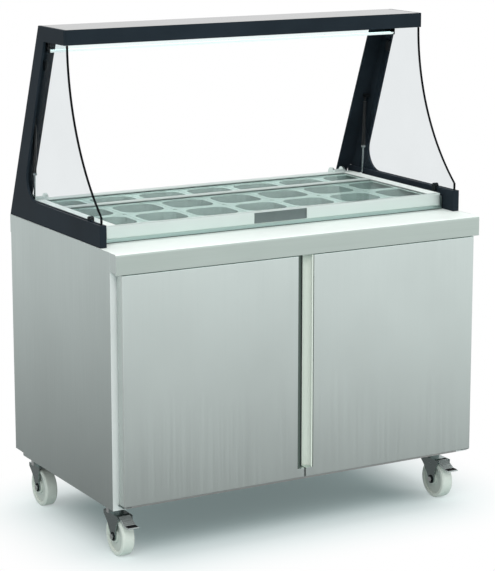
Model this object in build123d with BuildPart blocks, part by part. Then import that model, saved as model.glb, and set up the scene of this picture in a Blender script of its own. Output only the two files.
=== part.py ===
from build123d import *
import os
from math import atan2, degrees, hypot

os.makedirs("parts", exist_ok=True)

# Refrigerated salad bar: millimetres, +Z up, doors face -Y, origin on the floor under the middle.

# Cabinet body
body_width = 1300.0            # across the outer faces of the side walls
overall_depth = 780.0          # worktop nose to worktop rear edge
nose_overhang = 42.0           # worktop nose ahead of the cabinet front
rear_overhang = 9.0            # worktop behind the side walls
body_bottom = 170.0            # underside of the cabinet above the floor
worktop_underside = 904.0      # underside of the worktop above the floor
worktop_height = 59.0
nose_radius = 8.0
nose_drop = 4.0                # fascia lip below the worktop, over the doors' top gap
nose_lip = 8.0                 # depth of that lip
wall_thickness = 45.0          # foamed side walls
wall_skin = 2.0                # outer skin that runs up beside the worktop
rear_wall_thickness = 41.0
floor_thickness = 50.0
notch_length = 60.0            # step at the rear of each side wall's lower edge
notch_height = 10.0
front_frame_depth = 30.0
mullion_width = 60.0
jamb_width = 15.0
bottom_rail_height = 65.0
top_rail_height = 42.0
opening_corner = 12.0

# Machine compartment, low at the rear
compartment_depth = 268.0      # clear depth behind the housing
compartment_top = 400.0        # clear height above the floor
housing_wall = 30.0
tray_thickness = 6.0
grille_thickness = 3.0
grille_slot_length = 150.0
grille_slot_width = 9.0
grille_slot_pitch = 22.0

# Food pans, one sixth size
pan_length = 176.0
pan_width = 162.0
pan_depth = 100.0
pan_sheet = 1.5
pan_rim_width = 13.0
pan_rim_thickness = 2.0
pan_corner = 42.0
pan_draft = 7.0                # how far each wall leans in at the bottom
pan_gap = 1.0                  # between neighbouring rims
pan_rows = 3

# Raised collar round the pans
collar_height = 44.0
collar_front_land = 27.0
collar_side_wall = 2.5
collar_base_gap = 3.0          # collar to the serving frame's base
collar_rear_setback = 3.0
rear_shelf = 89.0              # collar behind the last row of pans
pan_seat = 9.0                 # how far the rims rest on the collar and on the bars
bar_height = 18.0

# Doors
door_reveal = 19.5             # side wall edge that shows beside a door
door_bottom_gap = 19.0         # door above the underside of the cabinet
door_top_gap = 6.0             # below the worktop
door_thickness = 34.0
door_middle_gap = 4.0
door_corner = 3.0
grip_width = 26.0
grip_depth = 28.0
grip_reveal = 1.6
grip_lip = 5.0
grip_cap = 30.0                # closed foot of the grip channel
liner_height = 6.0
gasket_width = 12.0
gasket_margin = 14.0
gasket_clearance = 0.4
hinge_inset = 12.5             # door pivot in from the door's outer edge
hinge_pin = 8.0
hinge_pin_depth = 12.0
hinge_plate = 3.5
hinge_plate_width = 30.0
hinge_washer = 1.0             # door above its lower hinge plate
hinge_bore_spare = 2.0         # bore beyond the end of the pin

# Serving frame over the pans
frame_setback = 3.0            # outer face in from the side wall
web_thickness = 8.0
base_width = 22.0
base_height = 68.0
base_reach = 61.0              # base ahead of the collar
beam_top = 1590.0
beam_height = 47.0
beam_depth = 187.0             # across the top face
beam_setback = 249.0           # top face's rear edge ahead of the worktop's rear edge
beam_sheet = 2.0
web_width_low = 78.0
web_width_high = 58.0
web_fillet = 70.0
web_small_fillet = 8.0
flange_width = 68.0            # rear flange of each upright, across the cabinet
flange_thickness = 6.0
glass_thickness = 5.0
glass_clearance = 0.3
glass_groove = 20.0
glass_lap = 20.0               # glass behind the edge of the upright
glass_nose_gap = 11.0          # front edge behind the base's front end
glass_corner_height = 22.0
glass_corner = 10.0
glass_hollow = 55.9            # depth of the hollow front edge behind its chord
trim_width = 4.0
trim_thickness = 6.0
trim_proud = 1.5
clip_width = 18.0
clip_thickness = 7.0
clip_height = 34.0
clip_above_base = 12.0
clip_setback = 105.0           # lower clip behind the base's front end
upper_clip_drop = 75.0         # upper clip below the beam
led_setback = 148.0            # lamp behind the beam's front
led_width = 30.0
led_housing_height = 26.0
led_diffuser_height = 8.0
led_end_gap = 9.0

# Lid over the pans
lid_side_gap = 19.0            # lid edge to the frame's base
lid_bar_depth = 14.4
lid_bar_gap = 1.6              # front bar to the collar
lid_bar_lift = 14.0            # front bar above the worktop ledge
lid_bar_radius = 6.0
lid_frame_height = 10.7
lid_seat_gap = 0.3
lid_border = 40.0
lid_rear_bar = 28.0
lid_cross_bar = 30.0
lid_cross_from_rear = 176.0    # hinge to the rear edge of the cross bar
lid_pane_thickness = 5.0
lid_pane_lift = 3.0
lid_handle_width = 190.0
lid_handle_height = 33.0
lid_handle_depth = 9.0
lid_handle_reveal = 0.6        # insert behind the bar's face
lid_handle_lip = 3.0
lid_hinge_offset = 32.0        # hinge axis behind the last row of pans
lid_hinge_rise = 9.0           # hinge axis above the collar
lid_barrel = 16.0
lid_barrel_length = 34.0
lid_tongue = 4.0               # leaf between the barrel and the rear bar
lid_barrel_inset = 24.0        # barrel in from the lid's side edge
ear_thickness = 8.0
ear_gap = 0.4
ear_height = 24.0
ear_flange_gap = 0.6           # ear's foot ahead of the upright's flange, at the ear's height

# Gas struts
strut_x_gap = 21.0             # strut centre to the inner face of the web
strut_arm = 73.0               # lower pivot ahead of the lid hinge
strut_lower_rise = 7.0         # lower pivot above the collar
strut_flange_gap = 11.3        # upper pivot ahead of the upright's flange
strut_rise = 256.0             # upper pivot above the base
strut_cylinder_d = 12.0
strut_rod_d = 6.0
strut_eye_d = 12.4
strut_eye_width = 9.6
strut_stud_d = 8.0
lid_stud_d = 9.6
strut_head_d = 14.0
strut_neck = 20.0
strut_cylinder_length = 160.0
strut_rod_overlap = 62.0       # rod inside the cylinder with the lid shut
running_clearance = 0.05       # radial, every pin and shaft

# Casters
wheel_diameter = 125.0
wheel_width = 40.0
wheel_rim = 13.0               # tread's depth at the wheel's side
wheel_crown = 4.0              # bevel of the tread's edges
wheel_dish = 6.0               # web behind the wheel's side
wheel_hub_d = 40.0
caster_trail = 36.0
caster_inset_x = 62.0
front_wheel_setback = 79.0     # front wheel axle behind the cabinet front
rear_wheel_inset = 86.0        # rear wheel axle ahead of the side walls' rear edge
axle_d = 10.0
fork_sheet = 3.5
fork_side_gap = 2.0
fork_top_gap = 4.0
fork_hollow = 5.0              # hollow of the legs' edges
race_radius = 27.0
race_height = 17.0
race_gap = 0.5
race_flange = 3.0              # fixed race beyond the turning one
kingpin_d = 12.0
plate_length = 96.0
plate_width = 86.0
plate_thickness = 5.0
pedal_length = 62.0
pedal_width = 38.0
pedal_sheet = 4.0
pedal_pivot_ahead = 30.0
pedal_pivot_rise = 64.5
pedal_pin_d = 6.0
pedal_sleeve = 3.0             # wall round the pin
pedal_lip = 24.0               # level tip for the foot
pedal_drop = 15.0              # tip below the pivot

# Shelves and cooling
shelf_height = 560.0
shelf_wire = 6.0
shelf_wires = 11
shelf_side_gap = 4.0
rail_sheet = 2.0
rail_leg = 16.0
rail_height = 24.0
post_size = 24.0
evaporator_width = 620.0
evaporator_height = 170.0
evaporator_depth = 56.0
evaporator_drop = 60.0         # below the worktop
fin_count = 16
fin_thickness = 4.0
compressor_diameter = 160.0
compressor_height = 180.0
compressor_x = -300.0
condenser_x = 230.0
condenser_width = 240.0
condenser_height = 170.0
condenser_depth = 44.0
fan_diameter = 150.0
fan_blades = 5
fan_blade_sheet = 3.0
fan_tip_gap = 4.0
fan_end_gap = 1.0              # rotor to the motor's face
gland_d = 18.0
gland_length = 8.0

# Places worked out from the driving dimensions
SIDES = (("left", -1), ("right", 1))
half_width = body_width / 2
nose_y = -overall_depth / 2
rear_y = overall_depth / 2
flange_y = nose_y + nose_overhang
panel_rear_y = rear_y - rear_overhang
worktop_top = worktop_underside + worktop_height
inner_half = half_width - wall_thickness
worktop_half = half_width - wall_skin
floor_top = body_bottom + floor_thickness
frame_back_y = flange_y + front_frame_depth
compartment_rear_y = panel_rear_y - grille_thickness
compartment_front_y = compartment_rear_y - compartment_depth
housing_top = compartment_top + housing_wall
rear_wall_y = panel_rear_y - rear_wall_thickness

web_outer = half_width - frame_setback
web_inner = web_outer - web_thickness
base_inner = web_outer - base_width
base_top = worktop_top + base_height
beam_bottom = beam_top - beam_height
beam_rear = rear_y - beam_setback
beam_front = beam_rear - beam_depth

collar_half = base_inner - collar_base_gap
well_limit = collar_half - collar_side_wall
collar_top = worktop_top + collar_height
collar_rear_y = rear_y - collar_rear_setback
pitch_x = pan_length + pan_gap
pitch_y = pan_width + pan_gap
pan_columns = int((2 * well_limit + pan_gap) // pitch_x)
well_half = pan_columns * pitch_x / 2
well_rear_y = collar_rear_y - rear_shelf
well_front_y = well_rear_y - pan_rows * pitch_y
collar_front_y = well_front_y - collar_front_land
base_front_y = collar_front_y - base_reach
rim_seat_z = collar_top - pan_rim_thickness

lean = (rear_y - beam_rear) / (beam_top - worktop_top)


def rear_line(z):
    """Depth of the serving frame's leaning rear edge at a height."""
    return rear_y - lean * (z - worktop_top)


def block(low, high, mode=Mode.ADD):
    """Box between two opposite corners, in the part being built."""
    middle = tuple((a + b) / 2 for a, b in zip(low, high))
    with Locations(middle):
        Box(*[abs(b - a) for a, b in zip(low, high)], mode=mode)


def rod_along_x(x_from, x_to, y, z, radius, mode=Mode.ADD):
    """Round bar along X between two positions, in the part being built."""
    with BuildSketch(Plane.YZ.offset(x_from)) as section:
        with Locations((y, z)):
            Circle(radius)
    extrude(section.sketch, amount=x_to - x_from, mode=mode)


def save(piece, name):
    """Label a finished piece and write its file."""
    piece.part.label = name
    export_step(piece.part, f"parts/{name}.step")


# Side walls with the step at the rear foot
def side_wall(side):
    with BuildPart() as wall:
        with BuildSketch(Plane.YZ.offset(side * half_width)):
            with BuildLine():
                step_y = panel_rear_y - notch_length
                Polyline(
                    (flange_y, body_bottom),
                    (step_y, body_bottom),
                    (step_y, body_bottom + notch_height),
                    (panel_rear_y, body_bottom + notch_height),
                    (panel_rear_y, worktop_underside),
                    (flange_y, worktop_underside),
                    close=True,
                )
            make_face()
        extrude(amount=-side * wall_thickness)
        block(
            (side * half_width, flange_y, worktop_underside),
            (side * worktop_half, panel_rear_y, worktop_top),
        )
    return wall


for name, side in SIDES:
    save(side_wall(side), f"side_wall_{name}")

# Rear wall above the machine compartment
with BuildPart() as rear_wall:
    block((-inner_half, rear_wall_y, housing_top), (inner_half, panel_rear_y, worktop_underside))
save(rear_wall, "rear_wall")

# Insulated floor with the thin tray under the machine compartment
with BuildPart() as cabinet_floor:
    with BuildSketch(Plane.YZ.offset(-inner_half)):
        with BuildLine():
            Polyline(
                (frame_back_y, body_bottom),
                (panel_rear_y, body_bottom),
                (panel_rear_y, body_bottom + tray_thickness),
                (compartment_front_y, body_bottom + tray_thickness),
                (compartment_front_y, floor_top),
                (frame_back_y, floor_top),
                close=True,
            )
        make_face()
    extrude(amount=2 * inner_half)
save(cabinet_floor, "cabinet_floor")

# Insulated hood over the machine compartment
with BuildPart() as machine_housing:
    with BuildSketch(Plane.YZ.offset(-inner_half)):
        with BuildLine():
            Polyline(
                (compartment_front_y - housing_wall, floor_top),
                (compartment_front_y, floor_top),
                (compartment_front_y, compartment_top),
                (panel_rear_y, compartment_top),
                (panel_rear_y, housing_top),
                (compartment_front_y - housing_wall, housing_top),
                close=True,
            )
        make_face()
    extrude(amount=2 * inner_half)
save(machine_housing, "machine_housing")

# Front frame with two door openings and a mullion
opening_width = inner_half - jamb_width - mullion_width / 2
opening_low = body_bottom + bottom_rail_height
opening_high = worktop_underside - top_rail_height
opening_middle = (mullion_width + opening_width) / 2
with BuildPart() as front_frame:
    with BuildSketch(Plane.XZ.offset(-flange_y)):
        with Locations((0, (body_bottom + worktop_underside) / 2)):
            Rectangle(2 * inner_half, worktop_underside - body_bottom)
        with Locations(*[(side * opening_middle, (opening_low + opening_high) / 2) for _, side in SIDES]):
            RectangleRounded(opening_width, opening_high - opening_low, opening_corner, mode=Mode.SUBTRACT)
    extrude(amount=-front_frame_depth)
save(front_frame, "front_frame")

# Slotted grille behind the machine compartment
grille_low = body_bottom + tray_thickness
grille_columns = int((2 * inner_half - grille_slot_length) // (1.4 * grille_slot_length))
grille_rows = int((compartment_top - grille_low - 3 * grille_slot_pitch) // grille_slot_pitch)
with BuildPart() as rear_grille:
    with BuildSketch(Plane.XZ.offset(-panel_rear_y)):
        with Locations((0, (grille_low + compartment_top) / 2)):
            Rectangle(2 * inner_half, compartment_top - grille_low)
            with GridLocations(1.4 * grille_slot_length, grille_slot_pitch, grille_columns, grille_rows):
                Rectangle(grille_slot_length, grille_slot_width, mode=Mode.SUBTRACT)
    extrude(amount=grille_thickness)
save(rear_grille, "rear_grille")

# Gland for the supply lead, low on the grille
with BuildPart() as mains_gland:
    gland_x = inner_half - 3 * gland_d
    gland_z = grille_low + gland_d
    with BuildSketch(Plane.XZ.offset(-panel_rear_y)):
        with Locations((gland_x, gland_z)):
            RegularPolygon(gland_d / 2, 6)
    extrude(amount=-gland_length / 2)
    with BuildSketch(Plane.XZ.offset(-panel_rear_y - gland_length / 2)):
        with Locations((gland_x, gland_z)):
            Circle(gland_d / 3)
    extrude(amount=-gland_length / 2)
    chamfer(mains_gland.faces().sort_by(Axis.Y)[-1].edges(), gland_d / 12)
save(mains_gland, "mains_gland")

# Worktop with its rounded nose and the cut-out under the pans
with BuildPart() as worktop:
    with BuildSketch(Plane.XY.offset(worktop_underside)):
        Rectangle(2 * worktop_half, overall_depth)
        with Locations((0, (nose_y + flange_y) / 2)):
            Rectangle(body_width, nose_overhang)
        with Locations((0, (well_front_y + well_rear_y) / 2)):
            Rectangle(2 * well_half, well_rear_y - well_front_y - 2 * pan_seat, mode=Mode.SUBTRACT)
    extrude(amount=worktop_height)
    block(
        (-half_width, nose_y, worktop_underside - nose_drop),
        (half_width, nose_y + nose_lip, worktop_underside),
    )
    nose_edge = worktop.faces().sort_by(Axis.Y)[0].edges().sort_by(Axis.Z)[-1]
    fillet(nose_edge, nose_radius)
save(worktop, "worktop")

# Raised collar with a seat for the pan rims
with BuildPart() as well_collar:
    block((-collar_half, collar_front_y, worktop_top), (collar_half, collar_rear_y, collar_top))
    block((-well_half, well_front_y, rim_seat_z), (well_half, well_rear_y, collar_top), mode=Mode.SUBTRACT)
    block(
        (-well_half, well_front_y + pan_seat, worktop_top),
        (well_half, well_rear_y - pan_seat, rim_seat_z),
        mode=Mode.SUBTRACT,
    )
    fillet(well_collar.faces().sort_by(Axis.Y)[0].edges().sort_by(Axis.Z)[-1], pan_seat / 2)
save(well_collar, "well_collar")

# Bars that carry the pans between the rows
with BuildPart() as pan_bars:
    for row in range(1, pan_rows):
        bar_y = well_front_y + row * pitch_y
        block((-well_half, bar_y - pan_seat, rim_seat_z - bar_height), (well_half, bar_y + pan_seat, rim_seat_z))
save(pan_bars, "pan_bars")


# One pan, its rim top at the origin
def pan_wall(inset, low):
    """Tapered rounded body of a pan, drawn in by an inset, down to a height."""
    mouth = (pan_length - 2 * (pan_rim_width + inset), pan_width - 2 * (pan_rim_width + inset))
    with BuildSketch(Plane.XY) as top:
        RectangleRounded(*mouth, pan_corner - inset)
    with BuildSketch(Plane.XY.offset(low)) as bottom:
        RectangleRounded(mouth[0] - 2 * pan_draft, mouth[1] - 2 * pan_draft, pan_corner - inset - pan_draft / 2)
    return top.sketch, bottom.sketch


with BuildPart() as pan:
    with BuildSketch(Plane.XY.offset(-pan_rim_thickness)):
        RectangleRounded(pan_length, pan_width, pan_rim_width)
    extrude(amount=pan_rim_thickness)
    loft(pan_wall(0, -pan_depth))
    loft(pan_wall(pan_sheet, -pan_depth + pan_sheet), mode=Mode.SUBTRACT)

row_names = ["front", "middle", "rear"] + [f"extra_{extra}" for extra in range(pan_rows)]
for row in range(pan_rows):
    row_y = well_front_y + (row + 0.5) * pitch_y
    with BuildPart() as pan_row:
        with Locations(*[(-well_half + (column + 0.5) * pitch_x, row_y, collar_top) for column in range(pan_columns)]):
            add(pan.part)
    save(pan_row, f"pans_{row_names[row]}_row")

# Rails and centre post that carry the shelves
rail_rear_y = compartment_front_y - housing_wall - post_size
rail_front_y = frame_back_y
rail_top = shelf_height - shelf_wire
post_half = post_size / 2
with BuildPart() as shelf_rails:
    block(
        (-post_half, rail_rear_y, floor_top),
        (post_half, rail_rear_y + post_size, housing_top),
    )
    for _, side in SIDES:
        for wall_x, inward in ((side * inner_half, -side), (side * post_half, side)):
            with BuildSketch(Plane.XZ.offset(-rail_front_y)):
                with BuildLine():
                    Polyline(
                        (wall_x, rail_top),
                        (wall_x + inward * rail_leg, rail_top),
                        (wall_x + inward * rail_leg, rail_top - rail_sheet),
                        (wall_x + inward * rail_sheet, rail_top - rail_sheet),
                        (wall_x + inward * rail_sheet, rail_top - rail_height),
                        (wall_x, rail_top - rail_height),
                        close=True,
                    )
                make_face()
            extrude(amount=-(rail_rear_y + post_size - rail_front_y))
save(shelf_rails, "shelf_rails")

# Wire shelves
with BuildPart() as wire_shelves:
    for _, side in SIDES:
        near_x = post_half + shelf_side_gap
        far_x = inner_half - shelf_side_gap
        shelf_middle = side * (near_x + far_x) / 2
        shelf_width = far_x - near_x
        shelf_front = rail_front_y + shelf_side_gap
        shelf_rear = rail_rear_y - shelf_side_gap
        low_z = rail_top
        for bar_y in (shelf_front, (shelf_front + shelf_rear) / 2, shelf_rear - shelf_wire):
            block(
                (shelf_middle - shelf_width / 2, bar_y, low_z),
                (shelf_middle + shelf_width / 2, bar_y + shelf_wire, low_z + shelf_wire),
            )
        for wire in range(shelf_wires):
            wire_x = shelf_middle + (wire / (shelf_wires - 1) - 0.5) * (shelf_width - shelf_wire)
            block(
                (wire_x - shelf_wire / 2, shelf_front, low_z),
                (wire_x + shelf_wire / 2, shelf_rear, low_z + shelf_wire),
            )
save(wire_shelves, "wire_shelves")

# Finned evaporator on the rear wall
with BuildPart() as evaporator:
    evaporator_high = worktop_underside - evaporator_drop
    evaporator_low = evaporator_high - evaporator_height
    spine_y = rear_wall_y - evaporator_depth / 4
    block(
        (-evaporator_width / 2, spine_y, evaporator_low),
        (evaporator_width / 2, rear_wall_y, evaporator_high),
    )
    for fin in range(fin_count):
        fin_x = -evaporator_width / 2 + fin * (evaporator_width - fin_thickness) / (fin_count - 1)
        block(
            (fin_x, rear_wall_y - evaporator_depth, evaporator_low),
            (fin_x + fin_thickness, spine_y, evaporator_high),
        )
save(evaporator, "evaporator")

# Compressor shell with its domed top and foot plate
machine_y = (compartment_front_y + compartment_rear_y) / 2
tray_top = body_bottom + tray_thickness
with BuildPart() as compressor:
    foot = compressor_height / 20
    radius = compressor_diameter / 2
    block(
        (compressor_x - 1.15 * radius, machine_y - 0.7 * radius, tray_top),
        (compressor_x + 1.15 * radius, machine_y + 0.7 * radius, tray_top + foot),
    )
    shell_top = tray_top + compressor_height
    for low, high, low_radius, high_radius in (
        (tray_top + foot, tray_top + 2 * foot, 0.85 * radius, radius),
        (tray_top + 2 * foot, shell_top - 5 * foot, radius, radius),
        (shell_top - 5 * foot, shell_top - 2 * foot, radius, 0.8 * radius),
        (shell_top - 2 * foot, shell_top, 0.8 * radius, 0.4 * radius),
    ):
        with Locations((compressor_x, machine_y, (low + high) / 2)):
            if low_radius == high_radius:
                Cylinder(radius, high - low)
            else:
                Cone(low_radius, high_radius, high - low)
save(compressor, "compressor")

# Condenser coil with the fan cowl and motor in front of it
fan_x = condenser_x
fan_z = tray_top + condenser_height / 2
coil_front = machine_y - condenser_depth
cowl_rear = machine_y + condenser_depth
motor_radius = fan_diameter / 6
with BuildPart() as condenser:
    block(
        (condenser_x - condenser_width / 2, coil_front, tray_top),
        (condenser_x + condenser_width / 2, machine_y, tray_top + condenser_height),
    )
    with BuildSketch(Plane.XZ.offset(-machine_y)):
        with Locations((fan_x, fan_z)):
            Rectangle(condenser_width, condenser_height)
            Circle(fan_diameter / 2 + fan_tip_gap, mode=Mode.SUBTRACT)
    extrude(amount=-condenser_depth)
    with BuildSketch(Plane.XZ.offset(-machine_y)):
        with Locations((fan_x, fan_z)):
            Circle(motor_radius)
    extrude(amount=-condenser_depth / 3)
    with BuildSketch(Plane.XZ.offset(-machine_y - condenser_depth / 3)):
        with Locations((fan_x, fan_z)):
            Circle(axle_d / 2)
    extrude(amount=-condenser_depth / 2)
save(condenser, "condenser")

# Fan rotor on the motor shaft
rotor_front = machine_y + condenser_depth / 3 + fan_end_gap
rotor_rear = rotor_front + condenser_depth / 2.5
with BuildPart() as fan_rotor:
    with BuildSketch(Plane.XZ.offset(-rotor_front)):
        with Locations((fan_x, fan_z)):
            Circle(motor_radius)
    extrude(amount=-(rotor_rear - rotor_front))
    blade_plane = Plane(origin=(fan_x, (rotor_front + rotor_rear) / 2, fan_z), x_dir=(1, 0, 0), z_dir=(0, -1, 0))
    with BuildSketch(blade_plane):
        with PolarLocations(fan_diameter / 3, fan_blades):
            SlotOverall(fan_diameter / 2.4, fan_diameter / 5, rotation=0)
        with BuildSketch(mode=Mode.INTERSECT):
            Circle(fan_diameter / 2)
    extrude(amount=fan_blade_sheet / 2, both=True)
    with BuildSketch(Plane.XZ.offset(-rotor_front)):
        with Locations((fan_x, fan_z)):
            Circle(axle_d / 2 + running_clearance)
    extrude(amount=-(rotor_rear - rotor_front), mode=Mode.SUBTRACT)
save(fan_rotor, "fan_rotor")


glass_front = base_front_y + glass_nose_gap


# Side of the serving frame: base, leaning upright and beam end in one plate
def frame_side(side):
    with BuildPart() as frame:
        with BuildSketch(Plane.YZ.offset(side * web_outer)) as outline:
            with BuildLine():
                Polyline(
                    (base_front_y, worktop_top),
                    (rear_y, worktop_top),
                    (beam_rear, beam_top),
                    (beam_front, beam_top),
                    (beam_front, beam_bottom),
                    (rear_line(beam_bottom) - web_width_high, beam_bottom),
                    (rear_line(base_top) - web_width_low, base_top),
                    (base_front_y, base_top),
                    close=True,
                )
            make_face()
            corners = outline.vertices()
            low_corner = corners.sort_by_distance((rear_line(base_top) - web_width_low, base_top, 0))[0]
            high_corner = corners.sort_by_distance((rear_line(beam_bottom) - web_width_high, beam_bottom, 0))[0]
            fillet(low_corner, web_fillet)
            fillet(high_corner, web_small_fillet)
        extrude(amount=-side * web_thickness)
        with BuildSketch(Plane.XZ.offset(-base_front_y)):
            with BuildLine():
                groove_inner = side * (web_inner - glass_thickness - 2 * glass_clearance)
                Polyline(
                    (side * web_inner, worktop_top),
                    (side * base_inner, worktop_top),
                    (side * base_inner, base_top),
                    (groove_inner, base_top),
                    (groove_inner, base_top - glass_groove),
                    (side * web_inner, base_top - glass_groove),
                    close=True,
                )
            make_face()
        extrude(amount=-(rear_line(base_top) - base_front_y))
        block(
            (side * web_inner, base_front_y, base_top - glass_groove),
            (groove_inner, glass_front - glass_clearance, base_top),
        )
    return frame


for name, side in SIDES:
    save(frame_side(side), f"frame_side_{name}")


# Rear flange of each upright, leaning with the side plate
def upright(side):
    with BuildPart() as flange:
        with BuildSketch(Plane.YZ.offset(side * web_inner)):
            with BuildLine():
                Polyline(
                    (rear_line(collar_top), collar_top),
                    (rear_line(beam_bottom), beam_bottom),
                    (rear_line(beam_bottom) - flange_thickness, beam_bottom),
                    (rear_line(base_top) - flange_thickness, base_top),
                    (rear_line(collar_top) - flange_thickness, collar_top),
                    close=True,
                )
            make_face()
        extrude(amount=-side * (flange_width - web_thickness))
        block(
            (side * web_inner, rear_y, collar_top),
            (side * base_inner, collar_front_y, base_top),
            mode=Mode.SUBTRACT,
        )
    return flange


for name, side in SIDES:
    save(upright(side), f"upright_{name}")

# Folded top beam between the side plates
with BuildPart() as top_beam:
    with BuildSketch(Plane.YZ.offset(-web_inner)):
        with BuildLine():
            Polyline(
                (beam_front, beam_bottom),
                (beam_front, beam_top),
                (beam_rear, beam_top),
                (rear_line(beam_bottom), beam_bottom),
                close=True,
            )
        make_face()
        offset(amount=-beam_sheet, mode=Mode.SUBTRACT)
    extrude(amount=2 * web_inner)
save(top_beam, "top_beam")

# Lamp under the beam
led_y = beam_front + led_setback
led_half = web_inner - led_end_gap
led_low = beam_bottom - led_housing_height
with BuildPart() as led_housing:
    block((-led_half, led_y - led_width / 2, led_low), (led_half, led_y + led_width / 2, beam_bottom))
    fillet(led_housing.edges().filter_by(Axis.X).group_by(Axis.Z)[0], led_width / 10)
save(led_housing, "led_housing")

with BuildPart() as led_diffuser:
    with BuildSketch(Plane.YZ.offset(-led_half)):
        with BuildLine():
            diffuser_half = led_width / 2 - led_width / 10
            Line((led_y - diffuser_half, led_low), (led_y + diffuser_half, led_low))
            ThreePointArc(
                (led_y + diffuser_half, led_low),
                (led_y, led_low - led_diffuser_height),
                (led_y - diffuser_half, led_low),
            )
        make_face()
    extrude(amount=2 * led_half)
save(led_diffuser, "led_diffuser")

# Side glass with the hollow front edge
glass_low = base_top - glass_groove + glass_clearance
glass_high = beam_bottom - glass_clearance
corner_z = base_top + glass_corner_height


def glass_edge(shift):
    """Upper and lower end of the hollow front edge, moved towards the back by a shift."""
    return (beam_front + shift, glass_high), (glass_front + shift, corner_z)


def glass_pane(side):
    rear_gap = glass_lap - web_width_low
    with BuildPart() as pane:
        with BuildSketch(Plane.YZ.offset(side * (web_inner - glass_clearance))) as outline:
            with BuildLine():
                top, low = glass_edge(0)
                SagittaArc(top, low, glass_hollow)
                Polyline(
                    low,
                    (glass_front, glass_low),
                    (rear_line(base_top) + rear_gap, glass_low),
                    (rear_line(base_top) + rear_gap, base_top),
                    (rear_line(beam_bottom) - web_width_high + glass_lap, glass_high),
                    top,
                )
            make_face()
            corner = outline.vertices().sort_by_distance((glass_front, corner_z, 0))[0]
            fillet(corner, glass_corner)
        extrude(amount=-side * glass_thickness)
    return pane


panes = {side: glass_pane(side) for _, side in SIDES}
for name, side in SIDES:
    save(panes[side], f"glass_{name}")

# Black edging along the hollow front edge of each glass
with BuildPart() as glass_trims:
    for _, side in SIDES:
        glass_middle = side * (web_inner - glass_clearance - glass_thickness / 2)
        with BuildSketch(Plane.YZ.offset(glass_middle)) as band:
            with BuildLine():
                front_top, front_low = glass_edge(-trim_proud)
                back_top, back_low = glass_edge(trim_width - trim_proud)
                SagittaArc(front_top, front_low, glass_hollow)
                Polyline(
                    front_low,
                    (front_low[0], base_top + glass_clearance),
                    (back_low[0], base_top + glass_clearance),
                    back_low,
                )
                SagittaArc(back_low, back_top, -glass_hollow)
                Line(back_top, front_top)
            make_face()
        extrude(amount=trim_thickness / 2, both=True)
        add(panes[side].part, mode=Mode.SUBTRACT)
save(glass_trims, "glass_trims")

# Clips that hold the glass at the base and at the upright
glass_inner = web_inner - 2 * glass_clearance - glass_thickness
clip_y = base_front_y + clip_setback
upper_clip_z = beam_bottom - upper_clip_drop
with BuildPart() as glass_clips:
    for _, side in SIDES:
        clip_top = base_top + clip_above_base
        with BuildSketch(Plane.YZ.offset(side * glass_inner)):
            with Locations((clip_y, clip_top - clip_height / 2)):
                SlotOverall(clip_height, clip_width, rotation=90)
        extrude(amount=-side * (glass_inner - base_inner + clip_thickness))
        block(
            (side * glass_inner, clip_y - clip_width, base_top - 2 * clip_height),
            (side * base_inner, clip_y + clip_width, base_top),
            mode=Mode.SUBTRACT,
        )
        upper_clip_y = rear_line(upper_clip_z) - web_width_high - clip_width / 4
        with BuildSketch(Plane.YZ.offset(side * glass_inner)):
            with Locations((upper_clip_y, upper_clip_z)):
                SlotOverall(clip_height, clip_width, rotation=90)
        extrude(amount=-side * clip_thickness)
save(glass_clips, "glass_clips")


# Doors: foamed panel, grip profile and gasket
door_outer = half_width - door_reveal
door_inner = door_middle_gap / 2
door_low = body_bottom + door_bottom_gap
door_high = worktop_underside - door_top_gap
door_back_y = nose_y + door_thickness
hinge_x = door_outer - hinge_inset
hinge_y = nose_y + door_thickness / 2
hinge_bore = hinge_pin_depth + hinge_bore_spare
grip_low = door_low + grip_cap
gasket_left = door_inner + gasket_margin
gasket_right = hinge_x - gasket_width / 2
gasket_low = door_low + gasket_margin
gasket_high = door_high - gasket_margin


def door_panel(side):
    with BuildPart() as door:
        block((side * door_inner, nose_y, door_low), (side * door_outer, door_back_y, door_high))
        fillet(door.faces().sort_by(Axis.Y)[0].edges(), door_corner)
        block(
            (side * door_inner, nose_y, grip_low),
            (side * (door_inner + grip_width), nose_y + grip_depth, door_high),
            mode=Mode.SUBTRACT,
        )
        block(
            (side * (gasket_left + gasket_width), door_back_y, gasket_low + gasket_width),
            (side * (gasket_right - gasket_width), door_back_y + liner_height, gasket_high - gasket_width),
        )
        for hole_z, depth in ((door_low, hinge_bore), (door_high, -hinge_bore)):
            with BuildSketch(Plane.XY.offset(hole_z)):
                with Locations((side * hinge_x, hinge_y)):
                    Circle(hinge_pin / 2 + running_clearance)
            extrude(amount=depth, mode=Mode.SUBTRACT)
    return door


def door_grip(side):
    wall_x = door_inner + grip_width
    lip_y = nose_y + grip_reveal
    back_y = nose_y + grip_depth
    lip_x = wall_x - grip_reveal - grip_lip
    with BuildPart() as grip:
        with BuildSketch(Plane.XY.offset(grip_low)):
            with BuildLine():
                ThreePointArc(
                    (side * lip_x, lip_y),
                    (side * (lip_x + 0.1 * grip_depth), nose_y + 0.52 * grip_depth),
                    (side * door_inner, back_y - grip_reveal),
                )
                Polyline(
                    (side * door_inner, back_y - grip_reveal),
                    (side * door_inner, back_y),
                    (side * wall_x, back_y),
                    (side * wall_x, nose_y + 0.3 * grip_depth),
                    (side * (wall_x - grip_reveal), nose_y + 0.3 * grip_depth),
                    (side * (wall_x - grip_reveal), lip_y),
                    (side * lip_x, lip_y),
                )
            make_face()
        extrude(amount=door_high - grip_low)
    return grip


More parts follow.
